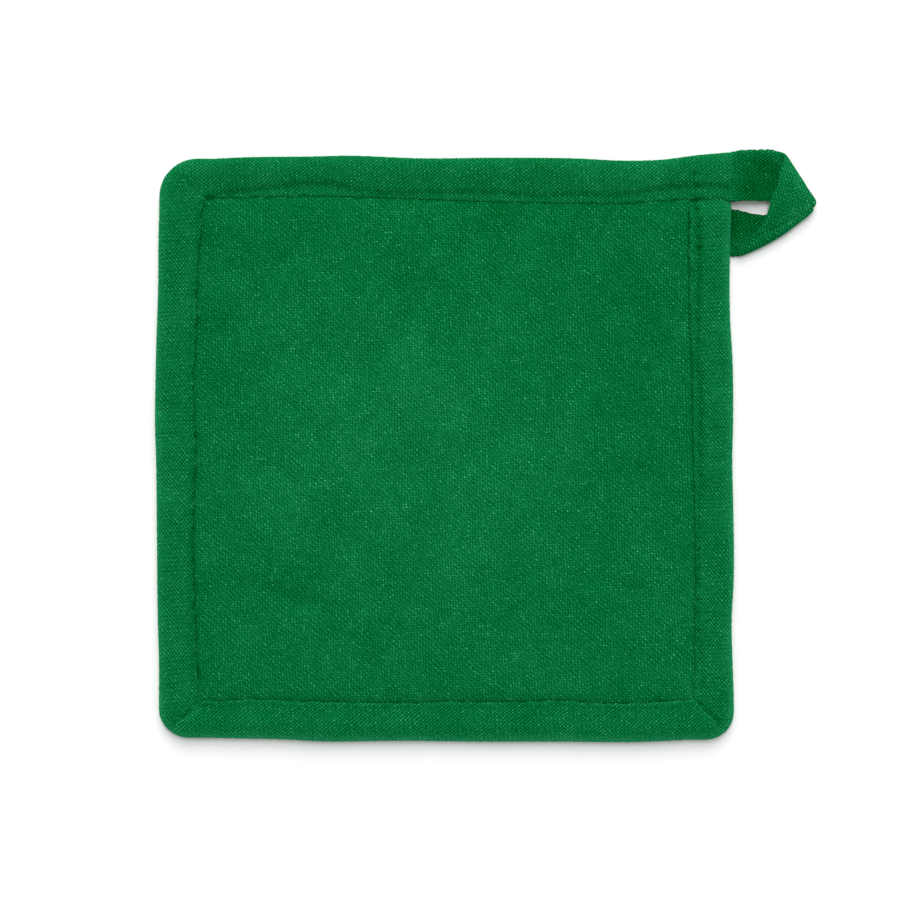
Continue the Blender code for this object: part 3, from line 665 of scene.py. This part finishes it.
def bound_tape():
    """The tape along the bound edge. Each section lies between its points on
    the bound edge and the fold edge; the sewn groove wanders beside the fold
    edge, the needle holes pull it down, and a mitre cuts a crease."""
    outer, inner, going_in, coming_out, mitre_at, mitre_way, creases = bound_path()
    run = run_length(inner + (outer - inner) * RUN_SHARE)[:, None]
    outward = unit(outer - inner)
    x, y = inner.T
    on_right = going_in == RIGHT
    tail = np.where(on_right, through(TAIL_RECESS, y), 0.0)[:, None] * TAIL_LIFT
    under = np.where(on_right, ease((y - FLATTENS[0]) / FLATTENS[1]), 0.0)[:, None]
    over = np.where(going_in == TOP, ease((x - RISES[0]) / RISES[1]), 0.0)[:, None]

    def side_own(values):
        return side_value(values, going_in)

    place = outer[:, None, :] + (inner - outer)[:, None, :] * (IN / TAPE_FRONT)[:, None]
    width = np.linalg.norm(inner - outer, axis=1)[:, None]
    from_fold = (1.0 - IN / TAPE_FRONT) * width
    groove_at = by_side(GROOVE, going_in, inner)
    uneven_hole = np.clip(HOLE_MEAN + uneven(run, HOLE_WAVE), 0.0, HOLE_MOST)
    at_hole = uneven_hole * np.clip(np.cos(2 * np.pi * run / STITCH_PITCH), 0.0, 1.0) ** 2
    height = HIGH + FRONT * front_relief(run, from_fold, groove_at, at_hole, side_own)
    # Painted light and shade of the tape's front.
    shade = front_painted_shading(run, from_fold, from_fold - groove_at, at_hole, side_own,
                       by_side(GROOVE_SHADE, going_in, inner), by_side(FOLD_SHADE, going_in, inner))
    shade = shade + painted_crease_shade(place[..., 0], place[..., 1])
    # Each needle hole dents the front and darkens it with painted shade.
    for hole_x, hole_y, dark in NEEDLE_HOLES:
        at = bump(np.hypot(place[..., 0] - hole_x, place[..., 1] - hole_y), NEEDLE_WIDTH)
        height = height - FRONT * NEEDLE_DEPTH * dark * at
        shade = shade - dark * at

    ahead = place - mitre_at[:, None, :]
    side_way = ahead[..., 0] * mitre_way[:, None, 1] - ahead[..., 1] * mitre_way[:, None, 0]
    height = height - creases[:, None] * bump(side_way, MITRE_WIDTH) * MITRE_SHARE
    fuzz = uneven(run, RIM_FUZZ) * bump(IN, RIM_FUZZ_WIDTH)
    fuzz = fuzz + side_own(FOLD_FUZZ) * uneven(run, FOLD_FUZZ_WAVE) * bump(from_fold, FOLD_FUZZ_WIDTH)
    place = place + outward[:, None, :] * fuzz[..., None]
    height = height * (1.0 - CROSSING_DROP * under) + TAIL_SHARE * tail
    height = height + over * CROSSING_LIFT * ease(HIGH / CROSSING_HEIGHT)
    points = np.concatenate([place, height[..., None]], axis=-1)
    start = cloth_starts()
    stitched = stitch_line(points, from_fold, groove_at[:, 0])
    return (points, flat_place(points, going_in, start), flat_place(points, coming_out, start),
            FRONT * shade, stitched)


def stitch_line(points, from_fold, groove_at):
    """Where the stitches lie on the front: the point of each section, and of
    its two neighbours across, at the groove's distance from the fold edge."""
    columns = np.arange(BACK_CELLS, OUTER_CELLS - HEM_COLUMNS)
    distance = from_fold[:, columns]
    at = np.array([np.interp(-g, -d, columns) for g, d in zip(groove_at, distance)])

    def across(shift):
        low = np.floor(at + shift).astype(int)
        part = (at + shift - low)[:, None]
        rows = np.arange(len(points))
        return points[rows, low] * (1.0 - part) + points[rows, low + 1] * part

    return across(0.0), across(1.0) - across(-1.0)


def fold_rows(fold, rising):
    """Rulings round a turned fold: a half turn about its line, sliding along
    it, each with its spine point, hem point, bow, normal and thickness."""
    turn = np.linspace(-np.pi / 2, np.pi / 2, FOLD_STEPS + 1)
    spine, hem, way, slide, bow, low, *tops = fold
    middle = [(low + high) / 2.0 for high in tops]
    radius = [(high - low) / 2.0 for high in tops]
    out = np.stack([way[0] * np.cos(turn), way[1] * np.cos(turn), np.sin(turn)], axis=-1)
    past = np.append(unit(np.subtract(hem, spine)), 0.0) * (turn / np.pi * slide)[:, None]
    rows = np.concatenate([
        np.append(spine, middle[0]) + out * radius[0] + past,
        np.append(hem, middle[1]) + out * radius[1] + past,
        np.tile(np.append(np.multiply(way, bow), 0.0), (len(turn), 1)), -out,
        np.full((len(turn), 1), FOLD_THICKNESS)], axis=-1)
    return rows if rising else rows[::-1]


def flat_rows(table, face):
    """Rulings of a lying stretch, which face up or down."""
    rows = np.array(table)
    normal = np.tile([0.0, 0.0, face], (len(rows), 1))
    return np.concatenate([rows[:, :9], normal, rows[:, 9:]], axis=-1)


def loop_rulings():
    """Rulings along the loop at even steps, through the given ones, and the leg
    that each is in: before, between or after the two folds."""
    rows = np.concatenate([
        flat_rows(LOOP_RISE, 1.0), fold_rows(FOLD_FAR, True), flat_rows(LOOP_MIDDLE, -1.0),
        fold_rows(FOLD_NEAR, False), flat_rows(LOOP_TAIL, 1.0)])
    length = run_length((rows[:, :3] + rows[:, 3:6]) / 2.0 + rows[:, :3] * RULING_SPINE)
    at = np.arange(0.0, length[-1], LOOP_CELL)
    fine = through(np.column_stack([length, rows]), at)
    far = np.interp(at, length, np.arange(len(rows)))
    first_fold = len(LOOP_RISE) + FOLD_STEPS / 2
    second_fold = first_fold + FOLD_STEPS + 1 + len(LOOP_MIDDLE)
    return fine, (far > first_fold).astype(int) + (far > second_fold)


def mirrored(way, fold):
    """A way along the cloth once it has turned over a fold's line."""
    line = unit(np.subtract(fold[1], fold[0]))
    return 2.0 * (way @ line) * line - way


def loop_frames(start):
    """For each leg of the loop: a point, its place along the tape and in from
    the spine, and the ways along and across the cloth."""
    frames = [(np.array(LOOP_ORIGIN), start[TOP], 0.0, ALONG[TOP], -OUT[TOP])]
    for fold in (FOLD_FAR, FOLD_NEAR):
        origin, along0, across0, along, across = frames[-1]
        corner = np.array(fold[0])
        frames.append((corner, along0 + (corner - origin) @ along, across0 + (corner - origin) @ across,
                       mirrored(along, fold), mirrored(across, fold)))
    return frames


def loop_flat_place(points, leg):
    """Place on the flat tape of the loop's points: along and in from the spine,
    by the ways that the cloth runs in their leg."""
    frames = zip(*loop_frames(cloth_starts()))
    origin, along0, across0, along, across = (np.array(column)[leg][:, None] for column in frames)
    ahead = points[..., :2] - origin
    u = along0 + (ahead * along).sum(-1)
    v = across0 + (ahead * across).sum(-1) + LOOP_CLOTH_SHIFT
    return np.stack([u, np.where(CLOTH < 0.0, -1.0, 1.0) * v], axis=-1)


def quarter_round(edge):
    """Rise of a quarter circle from 0 at 0 to 1 at 1."""
    return np.sqrt(1.0 - (1.0 - edge) ** 2)


def loop_tape():
    """The tape past the corner: a flat folded strip between each ruling's spine
    and hem, with a rounded spine, a shallow sewn groove on both faces and a
    slit between its two hems."""
    fine, leg = loop_rulings()
    spine, hem, bow = fine[:, None, :3], fine[:, None, 3:6], fine[:, None, 6:9]
    normal, thick = unit(fine[:, None, 9:12]), fine[:, None, 12:]
    inside = np.arange(len(IN)) > OUTER_CELLS
    inner_turn = np.linspace(1.0, -1.0, inside.sum() + 2)[1:-1]
    share = np.clip(IN / TAPE_FRONT, 0.0, 1.0)
    share[inside] = 1.0 - (LOOP_NOTCH / LOOP_WIDTH) * np.sqrt(1.0 - inner_turn ** 2)
    spine_edge = np.clip(share * LOOP_WIDTH / SPINE_ROUND, 0.0, 1.0)
    hem_edge = np.clip((1.0 - share) * LOOP_WIDTH / HEM_ROUND, 0.0, 1.0)
    hem_part = LOOP_HEM_SHARE + (1.0 - LOOP_HEM_SHARE) * quarter_round(hem_edge)
    side = UPPER * (quarter_round(spine_edge) * hem_part)
    side[inside] = LOOP_SLIT * inner_turn
    run = run_length(fine[:, :3] * (1.0 - LOOP_RUN_SHARE) + fine[:, 3:6] * LOOP_RUN_SHARE)[:, None]
    stitches = 1.0 + LOOP_STITCH_SHARE * np.cos(2 * np.pi * run / STITCH_PITCH)
    groove = np.where(inside, 0.0, LOOP_GROOVE * bump(IN - GROOVE_IN, LOOP_GROOVE_WIDTH) * stitches)
    offset = side * thick[..., 0] / 2.0 - np.sign(side) * groove * np.abs(side)
    arch = (4.0 * share * (1.0 - share))[None, :, None]
    fuzz = (uneven(run, LOOP_FUZZ[1]) * bump(1.0 - share, LOOP_FUZZ_SHARE)
            - uneven(run, LOOP_FUZZ[0]) * bump(share, LOOP_FUZZ_SHARE))
    points = spine + (hem - spine) * share[None, :, None] + bow * arch + normal * offset[..., None]
    points = points + unit(hem - spine) * fuzz[..., None]
    # Painted shade and highlights on the upward faces of the loop's legs.
    shade = np.zeros(points.shape[:2])
    facing_up = np.array(LEG_FACES)[leg][:, None] * UPPER[None, :] > 0.0
    for which, *patch in LOOP_SHADE:
        tone = bell_line(points[..., 0], points[..., 1], *patch)
        shade = shade + np.where(facing_up & (leg == which)[:, None], tone, 0.0)
    column = BACK_CELLS + int(np.argmin(np.abs(IN[BACK_CELLS:OUTER_CELLS - HEM_COLUMNS] - GROOVE_IN)))
    stitched = (points[:, column], points[:, column + 1] - points[:, column - 1])
    return points, loop_flat_place(points, leg), shade, stitched


def make_tape(material):
    """One folded tape: along the bound edge, then on as the hanging loop."""
    bound, bound_in, bound_out, bound_shade, bound_stitches = bound_tape()
    loop, loop_cloth, loop_shade, loop_stitches = loop_tape()
    points = np.concatenate([bound, loop])
    uv_in = np.concatenate([bound_in, loop_cloth])
    uv_out = np.concatenate([bound_out, loop_cloth])
    rows, columns = points.shape[:2]
    quads = grid_quads(rows, columns, closed=True)

    def closed(uv):
        end = uv[:, :1].copy()
        end[..., 1] += CLOTH_END - CLOTH[0]
        return np.concatenate([uv, end], axis=1)

    first, after = closed(uv_out)[:-1], closed(uv_in)[1:]
    uv = np.stack([first[:, :-1], first[:, 1:], after[:, 1:], after[:, :-1]], axis=2).reshape(-1, 4, 2)
    flat = points.reshape(-1, 3)
    caps = [list(range(columns)), list(range(rows * columns - columns, rows * columns))]
    if volume_of(flat, quads) < 0.0:
        quads = quads[:, ::-1]
        uv = uv[:, ::-1]
        caps = [caps[0], caps[1][::-1]]
    else:
        caps = [caps[0][::-1], caps[1]]
    cap_uv = np.concatenate([uv_out[0][caps[0]], uv_in[-1][np.array(caps[1]) - (rows - 1) * columns]])
    all_uv = np.concatenate([uv.reshape(-1, 2), cap_uv])
    shade = np.concatenate([bound_shade, loop_shade])
    piece = make_piece("binding_tape", flat, quads.tolist() + caps, material, all_uv, shade)
    front = [np.concatenate(pair) for pair in zip(bound_stitches, loop_stitches)]
    back = points[:, BACK_GROOVE], points[:, BACK_GROOVE + 1] - points[:, BACK_GROOVE - 1]
    return piece, [front, back]


# ------------------------------------------------------------------- the thread
def make_stitches(lines, material):
    """Stitches as short rounded threads in the tape's groove, on the front and
    on the back: each arcs up a little from one needle hole to the next."""
    made = []
    faces = []
    count = 0
    for line, across in lines:
        run = run_length(line)
        stitches = np.arange(FIRST_STITCH, run[-1] - STITCH_PITCH, STITCH_PITCH)
        share = np.linspace(0.0, 1.0, STITCH_RINGS)
        at = stitches[:, None] + (STITCH_PITCH - STITCH_LENGTH) / 2.0 + share * STITCH_LENGTH
        row = np.interp(at, run, np.arange(len(run)))
        forward = np.gradient(line, axis=0)
        normal = np.cross(across, forward)
        normal /= np.linalg.norm(normal, axis=-1, keepdims=True) + 1e-9

        def sample(values):
            low = np.clip(np.floor(row).astype(int), 0, len(values) - 2)
            part = (row - low)[..., None]
            return values[low] * (1.0 - part) + values[low + 1] * part

        middle, up, ahead = sample(line), sample(normal), sample(forward)
        sideways = np.cross(up, unit(ahead))
        arch = np.sin(np.pi * share)[:, None]
        middle = middle + up * (STITCH_SINK + STITCH_ARCH * arch)
        radius = THREAD_RADIUS * np.sqrt(1.0 - (STITCH_TAPER * (2.0 * share - 1.0)) ** 2)
        turn = 2 * np.pi * np.arange(THREAD_SIDES) / THREAD_SIDES
        ring = sideways[..., None, :] * np.cos(turn)[:, None] + up[..., None, :] * np.sin(turn)[:, None]
        points = middle[..., None, :] + ring * radius[None, :, None, None]
        made.append(points.reshape(-1, 3))
        one = grid_quads(STITCH_RINGS, THREAD_SIDES, closed=True)
        size = STITCH_RINGS * THREAD_SIDES
        base = count + np.arange(len(stitches))[:, None, None] * size
        quads = (base + one[None]).reshape(-1, 4)
        if volume_of(points.reshape(-1, 3), quads - count) < 0.0:
            quads = quads[:, ::-1]
        faces += quads.tolist()
        ends = np.arange(THREAD_SIDES)
        first = (base[:, 0] + ends).tolist()
        last = (base[:, 0] + size - THREAD_SIDES + ends).tolist()
        faces += first + last
        count += len(stitches) * size
    return make_piece("stitching", np.concatenate(made), faces, material)


# -------------------------------------------------------------------- the panel
def relief(x, y):
    """Sum of the panel's soft creases and swells."""
    return sum(bell_line(x, y, *row) for row in PANEL_RELIEF)


def panel_lines():
    """Places of the pad's grid lines along one axis, as a share of the visible
    panel, and how far into the tape each lies, from -1 to 1. They stand closer
    beside the fold edge."""
    width = 2.0 * FOLD_NOMINAL
    edge = np.array(EDGE_LINES)
    cells = int((width - 2.0 * edge[-1]) / PANEL_CELL)
    middle = np.linspace(edge[-1], width - edge[-1], cells + 1)[1:-1]
    visible = np.concatenate([edge, middle, width - edge[::-1]]) / width
    place = np.concatenate([np.zeros(HIDDEN_CELLS), visible, np.ones(HIDDEN_CELLS)])
    hidden = np.linspace(1.0, 0.0, HIDDEN_CELLS + 1)[:-1]
    depth = np.concatenate([-hidden, np.zeros(len(visible)), hidden[::-1]])
    return place, depth


def pad_plan():
    """Plan of the pad: the visible field inside the fold edges, then out into
    the tape towards the bound edge. In the corners the square turns into a
    rounded one."""
    share, into = panel_lines()
    s, t = np.meshgrid(share, share, indexing="ij")
    p, q = np.meshgrid(into, into, indexing="ij")
    near_y = (2.0 * t - 1.0) * FOLD_NOMINAL
    left, right = through(FOLD[LEFT], near_y), through(FOLD[RIGHT], near_y)
    x = -left + s * (left + right)
    bottom, top = through(FOLD[BOTTOM], x), through(FOLD[TOP], x)
    y = -bottom + t * (bottom + top)
    gap = TAPE_FRONT - CHANNEL_DEPTH
    reach_x = np.where(p > 0, through(EDGE[RIGHT], y) - right, through(EDGE[LEFT], y) - left) - gap
    reach_y = np.where(q > 0, through(EDGE[TOP], x) - top, through(EDGE[BOTTOM], x) - bottom) - gap
    out_x, out_y = p * reach_x, q * reach_y
    radius = np.full(x.shape, PAD_CORNER_RADIUS)
    for turn, way_x, way_y in ((TOP, -1, 1), (LEFT, -1, -1), (BOTTOM, 1, -1)):
        radius[(p * way_x > 0) & (q * way_y > 0)] = CORNER_RADIUS[turn] - gap
    both = (np.abs(p) > 0) & (np.abs(q) > 0)
    rays = unit(np.stack([np.abs(out_x[both]), np.abs(out_y[both])], axis=-1))
    box = np.stack([np.abs(reach_x[both]), np.abs(reach_y[both])], axis=-1)
    cut = np.ones(x.shape)
    cut[both] = rounded_reach(np.zeros(2), rays, box, radius[both]) / (box / rays).min(axis=-1)
    depth = np.maximum(np.abs(p), np.abs(q))
    inside_fold = np.stack([right - x, x + left, top - y, y + bottom])
    return x + out_x * cut, y + out_y * cut, depth, p, q, inside_fold


def panel_height(x, y, inside_fold):
    """Height of the visible panel: it rolls up beside the hem, has a shoulder
    and a flat dome, each of which rises as 1 - exp(-d / reach) from every side,
    and over them the creases, a soft unevenness, and puckers of the needle
    holes that die out a few millimetres in."""
    distance = np.maximum(inside_fold, 0.0)
    height = PAD_UPPER[0][1]
    for size, reach in (EDGE_ROLL, SHOULDER, DOME):
        height = height + size * np.prod(1.0 - np.exp(-distance / reach), axis=0)
    rise = np.prod(1.0 - np.exp(-distance / PUFF_REACH), axis=0)
    soft = sum(size * unevenness(x, y, wavelength, seed) for size, wavelength, seed in PANEL_UNEVEN)
    height = height + (relief(x, y) + soft) * rise
    for away, along, (seed, fade_seed) in zip(distance, (y, y, x, x), PUCKER_SEEDS):
        drift = PUCKER_DRIFT * wander(along, PUCKER_WAVELENGTH, seed)
        waves = np.cos(2 * np.pi * along / STITCH_PITCH + drift)
        size = 0.5 + 0.5 * ease(wander(along, PUCKER_FADE, fade_seed))
        height += PUCKER_HEIGHT * waves * size * np.exp(-away / PUCKER_REACH) * ease(away)
    return height


def panel_painted_shading(x, y, inside_fold):
    """How much lighter or darker the panel's cloth is, all as painted light and shade: lighter in the
    middle and on the swells, darker in the creases and, unevenly, beside the hem, and a little darker
    towards the upper edge."""
    light_x, light_y, light_reach, middle, outside = MIDDLE_LIGHT
    tone = outside + middle * bump(np.hypot(x - light_x, y - light_y), light_reach)
    tone = tone + RELIEF_SHADING * relief(x, y)
    distance = np.maximum(inside_fold, 0.0)
    sides = (RIGHT, LEFT, TOP, BOTTOM)
    for away, along, side, seed in zip(distance, (y, y, x, x), sides, PANEL_SEAM_SHADE_SEEDS):
        seam_shade = SEAM_SHADE[side] * wander(along, SEAM_SHADE_WAVE[1], seed)
        tone = tone + seam_shade * np.exp(-away / PANEL_SEAM_SHADE_REACH)
        tone = tone - through(FOLD_SHADE[side], along) * np.exp(-away / FOLD_SHADE_REACH[side])
        tone = tone + EDGE_LIGHT[side][0] * np.exp(-away / EDGE_LIGHT[side][1])
    return tone + painted_crease_shade(x, y) - UPWARD_SHADE * y / FOLD_NOMINAL


def make_pad(material):
    """The filled panel as one closed form: an upper and a lower grid of the same
    plan, which share the rim inside the tape."""
    x, y, depth, p, q, inside_fold = pad_plan()
    tail = np.where(p > 0, through(TAIL_RECESS, y), 0.0) * TAIL_LIFT * ease(p * TAIL_STEEPNESS)
    hidden_top = through(PAD_UPPER, depth) + TAIL_UPPER * tail
    upper = np.where(depth > 0, hidden_top, panel_height(x, y, inside_fold))
    crossing = (p > 0) & (q > 0)
    upper = np.where(crossing, np.minimum(upper, PRESSED_TOP), upper)
    inside = np.maximum(inside_fold.min(axis=0), 0.0)
    step, foot, foot_reach = STEP_ROUND
    below = STEP_HEIGHT * bump(inside, step) + foot * np.exp(-inside / foot_reach)
    below = np.where(inside > FLAT_FROM, 0.0, below - foot * np.exp(-FLAT_FROM / foot_reach))
    within = depth < 1.0
    hidden_below = through(PAD_LOWER, depth) + np.where(within, TAIL_LOWER, TAIL_UPPER) * tail
    lower = np.where(depth > 0, hidden_below, np.maximum(below, 0.0))
    lower = np.minimum(lower, upper - np.where(within, LEAST_PAD, 0.0))
    rows, columns = x.shape
    front = np.stack([x, y, upper], axis=-1).reshape(-1, 3)
    back = np.stack([x, y, lower], axis=-1).reshape(-1, 3)
    index = np.arange(rows * columns).reshape(rows, columns)
    rim = np.ones((rows, columns), bool)
    rim[1:-1, 1:-1] = False
    back_index = index + rows * columns
    back_index[rim] = index[rim]
    cells = grid_quads(rows, columns)
    quads = np.concatenate([cells, back_index.ravel()[cells][:, ::-1]])
    used, quads = np.unique(quads, return_inverse=True)
    points = np.concatenate([front, back])[used]
    quads = quads.reshape(-1, 4)
    if volume_of(points, quads) < 0.0:
        quads = quads[:, ::-1]
    # Painted light and shade of the panel, the same on both faces.
    shade = np.tile(panel_painted_shading(x, y, inside_fold).ravel(), 2)[used]
    return make_piece("panel", points, quads.tolist(), material, shade=shade)


# ------------------------------------------------------------------ node helpers
def feed(tree, socket, value):
    """Link a socket to an output, or set its own value. None leaves it alone."""
    if isinstance(value, bpy.types.NodeSocket):
        tree.links.new(value, socket)
    elif value is not None:
        socket.default_value = value


def calc(tree, operation, *inputs, kind="Math"):
    node = tree.nodes.new("ShaderNode" + kind)
    node.operation = operation
    for socket, value in zip(node.inputs, inputs):
        feed(tree, socket, value)
    return node.outputs["Vector" if kind == "VectorMath" and operation != "DOT_PRODUCT" else "Value"]


def vector_calc(tree, operation, *inputs):
    return calc(tree, operation, *inputs, kind="VectorMath")


def combined(tree, x, y):
    node = tree.nodes.new("ShaderNodeCombineXYZ")
    feed(tree, node.inputs["X"], x)
    feed(tree, node.inputs["Y"], y)
    return node.outputs[0]


def noise(tree, vector, scale=1.0, detail=1.0, color=False):
    node = tree.nodes.new("ShaderNodeTexNoise")
    node.inputs["Scale"].default_value = scale
    node.inputs["Detail"].default_value = detail
    feed(tree, node.inputs["Vector"], vector)
    return node.outputs["Color" if color else "Fac"]


def new_group(name, inputs, outputs):
    """Empty node group with named sockets; returns it with the nodes at its
    two ends."""
    group = bpy.data.node_groups.new(name, "ShaderNodeTree")
    for way, sockets in (("INPUT", inputs), ("OUTPUT", outputs)):
        for label, kind in sockets.items():
            group.interface.new_socket(label, in_out=way, socket_type="NodeSocket" + kind)
    return group, group.nodes.new("NodeGroupInput").outputs, group.nodes.new("NodeGroupOutput").inputs


def linear(value):
    """Screen value of 255 as linear light."""
    v = max(value, 0.0) / 255.0
    return v / 12.92 if v <= 0.04045 else ((v + 0.055) / 1.055) ** 2.4


def cloth_green(green):
    """The cloth's colour at one lightness: red and blue lie a fixed step under
    green on the screen, so light threads are paler and gaps are purer."""
    red = max(green - CLOTH_RED_STEP, 0.0)
    return (linear(red) / LIGHT_LEVEL, linear(green) / LIGHT_LEVEL,
            linear(green - CLOTH_BLUE_STEP) / LIGHT_LEVEL, 1.0)


def weave_group():
    """Plain weave. Two families of threads make ridges, and the twist of the
    yarn joins the crossings into slanting ribs. Each crossing has a tone of its
    own, its fibres are finer streaks, and a few crossings are pale flecks."""
    vectors = dict.fromkeys(("Place", "Warp step", "Weft step"), "Vector")
    tones = dict.fromkeys(("Shade", *PANEL_WEAVE), "Float")
    outputs = {"Color": "Color", "Height": "Float"}
    group, given, result = new_group("plain_weave", vectors | tones, outputs)
    place = given["Place"]

    def of(operation, *inputs):
        return calc(group, operation, *inputs)

    moved = place
    for scale, detail, distance in STRAYS:
        stray = noise(group, place, scale, detail, color=True)
        stray = vector_calc(group, "SUBTRACT", stray, (0.5, 0.5, 0.5))
        stray = vector_calc(group, "SCALE", stray, None, None, distance)
        moved = vector_calc(group, "ADD", moved, stray)
    warp = vector_calc(group, "DOT_PRODUCT", moved, given["Warp step"])
    weft = vector_calc(group, "DOT_PRODUCT", moved, given["Weft step"])
    warp_id, weft_id = of("ROUND", warp), of("ROUND", weft)
    pi = float(np.pi)
    warp_ridge = of("COSINE", of("MULTIPLY", warp, 2.0 * pi))
    weft_ridge = of("COSINE", of("MULTIPLY", weft, 2.0 * pi))
    rib = of("COSINE", of("MULTIPLY", of("SUBTRACT", warp, weft), pi))

    warp_line = combined(group, of("MULTIPLY", warp_id, WARP_STREAKS),
                         of("MULTIPLY", weft, STREAK_STRETCH))
    weft_line = combined(group, of("MULTIPLY", warp, STREAK_STRETCH),
                         of("MULTIPLY_ADD", weft_id, WEFT_STREAKS, WEFT_STREAK_START))
    streak = of("SUBTRACT", of("ADD", noise(group, warp_line), noise(group, weft_line)), 1.0)
    cell = group.nodes.new("ShaderNodeTexWhiteNoise")
    cell.noise_dimensions = "2D"
    feed(group, cell.inputs["Vector"], combined(group, warp_id, weft_id))
    own = cell.outputs["Value"]
    knot = of("MULTIPLY", *(of("MULTIPLY_ADD", ridge, 0.5, 0.5) for ridge in (warp_ridge, weft_ridge)))
    chance = of("MULTIPLY", of("SUBTRACT", own, 0.5), knot)
    fleck = of("MULTIPLY", of("POWER", own, FLECK_RARENESS), knot)
    fibre_place = combined(group, of("MULTIPLY", warp, FIBRES_ALONG), of("MULTIPLY", weft, FIBRES_ACROSS))
    fibre = of("SUBTRACT", noise(group, fibre_place), 0.5)
    cloud = of("SUBTRACT", noise(group, place, CLOUD_SCALE, CLOUD_DETAIL), 0.5)

    tone = of("ADD", given["Tone"], given["Shade"])
    parts = {"Warp": warp_ridge, "Weft": weft_ridge, "Rib": rib, "Crossing": chance, "Fibre": fibre,
             "Streak": streak, "Fleck": fleck, "Cloud": cloud}
    for label, part in parts.items():
        tone = of("MULTIPLY_ADD", part, given[label + " tone"], tone)
    ramp = group.nodes.new("ShaderNodeValToRGB")
    stops = ramp.color_ramp.elements
    for share in np.linspace(0.0, 1.0, RAMP_STOPS)[1:-1]:
        stops.new(float(share))
    for stop in stops:
        stop.color = cloth_green(RAMP_LOW + (RAMP_HIGH - RAMP_LOW) * stop.position)
    ridges = of("ADD", of("ADD", warp_ridge, weft_ridge), rib)
    feed(group, ramp.inputs[0], of("DIVIDE", of("SUBTRACT", tone, RAMP_LOW), RAMP_HIGH - RAMP_LOW))
    feed(group, result["Color"], ramp.outputs["Color"])
    feed(group, result["Height"], of("MULTIPLY_ADD", fibre, FIBRE_RISE, ridges))
    return group


def thread_step(spacing, degrees):
    """Vector whose dot product with a place in metres counts the threads that
    run at an angle."""
    turn = np.radians(degrees + 90.0)
    return (float(np.cos(turn)) / (spacing * MM), float(np.sin(turn)) / (spacing * MM), 0.0)


def set_values(node, values):
    """Give a node's inputs their values by name."""
    for label, value in values.items():
        node.inputs[label].default_value = value


def cloth_material(name, group, place_node, place_output, warp, weft, tones):
    """Matt woven cloth: the weave group gives its colour and the height of a
    fine bump, and a green sheen stands for its fuzz."""
    material = bpy.data.materials.new(name)
    material.use_nodes = True
    tree = material.node_tree
    shader = tree.nodes["Principled BSDF"]
    place = tree.nodes.new(place_node)
    if place_node == "ShaderNodeUVMap":
        place.uv_map = "cloth"
    weave = tree.nodes.new("ShaderNodeGroup")
    weave.node_tree = group
    feed(tree, weave.inputs["Place"], place.outputs[place_output])
    set_values(weave, {"Warp step": thread_step(*warp), "Weft step": thread_step(*weft)} | tones)
    # Each point's painted light and shade lightens or darkens the weave.
    shade = tree.nodes.new("ShaderNodeAttribute")
    shade.attribute_name = "shade"
    feed(tree, weave.inputs["Shade"], shade.outputs["Fac"])
    rise = tree.nodes.new("ShaderNodeBump")
    set_values(rise, {"Strength": BUMP_STRENGTH, "Distance": BUMP_HEIGHT * MM})
    feed(tree, rise.inputs["Height"], weave.outputs["Height"])
    feed(tree, shader.inputs["Base Color"], weave.outputs["Color"])
    feed(tree, shader.inputs["Normal"], rise.outputs["Normal"])
    set_values(shader, CLOTH_SHADER)
    return material


def plain_material(name, color, roughness):
    material = bpy.data.materials.new(name)
    material.use_nodes = True
    set_values(material.node_tree.nodes["Principled BSDF"],
               {"Base Color": color, "Roughness": roughness, "Specular IOR Level": 0.0})
    return material


# --------------------------------------------------------------- floor and light
def make_floor():
    half = FLOOR_SIZE / 2.0 / MM
    square = ((-half, -half), (half, -half), (half, half), (-half, half))
    corners = np.array([(x, y, FLOOR_LEVEL) for x, y in square])
    ground = plain_material("white_ground", FLOOR_COLOR, FLOOR_ROUGHNESS)
    floor = make_piece("floor", corners, [[0, 1, 2, 3]], ground)


def make_lamp(name, place, size, power):
    """Square soft lamp that looks at the middle of the pot holder."""
    data = bpy.data.lights.new(name, "AREA")
    data.shape = "SQUARE"
    data.size = size
    data.energy = power
    lamp = bpy.data.objects.new(name, data)
    lamp.location = place
    x, y, z = -np.array(place)
    lamp.rotation_euler = (np.arctan2(np.hypot(x, y), -z), 0.0, np.arctan2(y, x) - np.pi / 2)
    bpy.context.scene.collection.objects.link(lamp)


def make_light():
    world = bpy.data.worlds.new("studio")
    world.use_nodes = True
    set_values(world.node_tree.nodes["Background"], SKY)
    bpy.context.scene.world = world
    for name, (place, size, power) in LAMPS.items():
        make_lamp(name, place, size, power)


def make_camera():
    data = bpy.data.cameras.new("camera")
    data.lens = CAMERA_LENS
    data.sensor_width = SENSOR
    camera = bpy.data.objects.new("camera", data)
    distance = FRAME_WIDTH * CAMERA_LENS / SENSOR
    camera.location = (CAMERA_CENTRE[0] * MM, CAMERA_CENTRE[1] * MM, (OUTLINE_HEIGHT + distance) * MM)
    bpy.context.scene.collection.objects.link(camera)
    bpy.context.scene.camera = camera


def main():
    weave = weave_group()
    panel_cloth = cloth_material("panel_cloth", weave, "ShaderNodeTexCoord", "Object",
                                 PANEL_WARP, PANEL_WEFT, PANEL_WEAVE)
    binding_cloth = cloth_material("binding_cloth", weave, "ShaderNodeUVMap", "UV",
                                   TAPE_WARP, TAPE_WEFT, TAPE_WEAVE)
    thread = plain_material("sewing_thread", cloth_green(THREAD_TONE), THREAD_ROUGHNESS)

    panel = make_pad(panel_cloth)
    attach(panel, BODY)
    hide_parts("pad")

    tape, stitch_lines = make_tape(binding_cloth)
    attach(tape, BODY)
    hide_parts("binding", "hanging_loop")

    stitching = make_stitches(stitch_lines, thread)
    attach(stitching, BODY)

    make_floor()
    make_light()
    make_camera()
    bpy.context.scene.view_settings.view_transform = "Standard"


main()
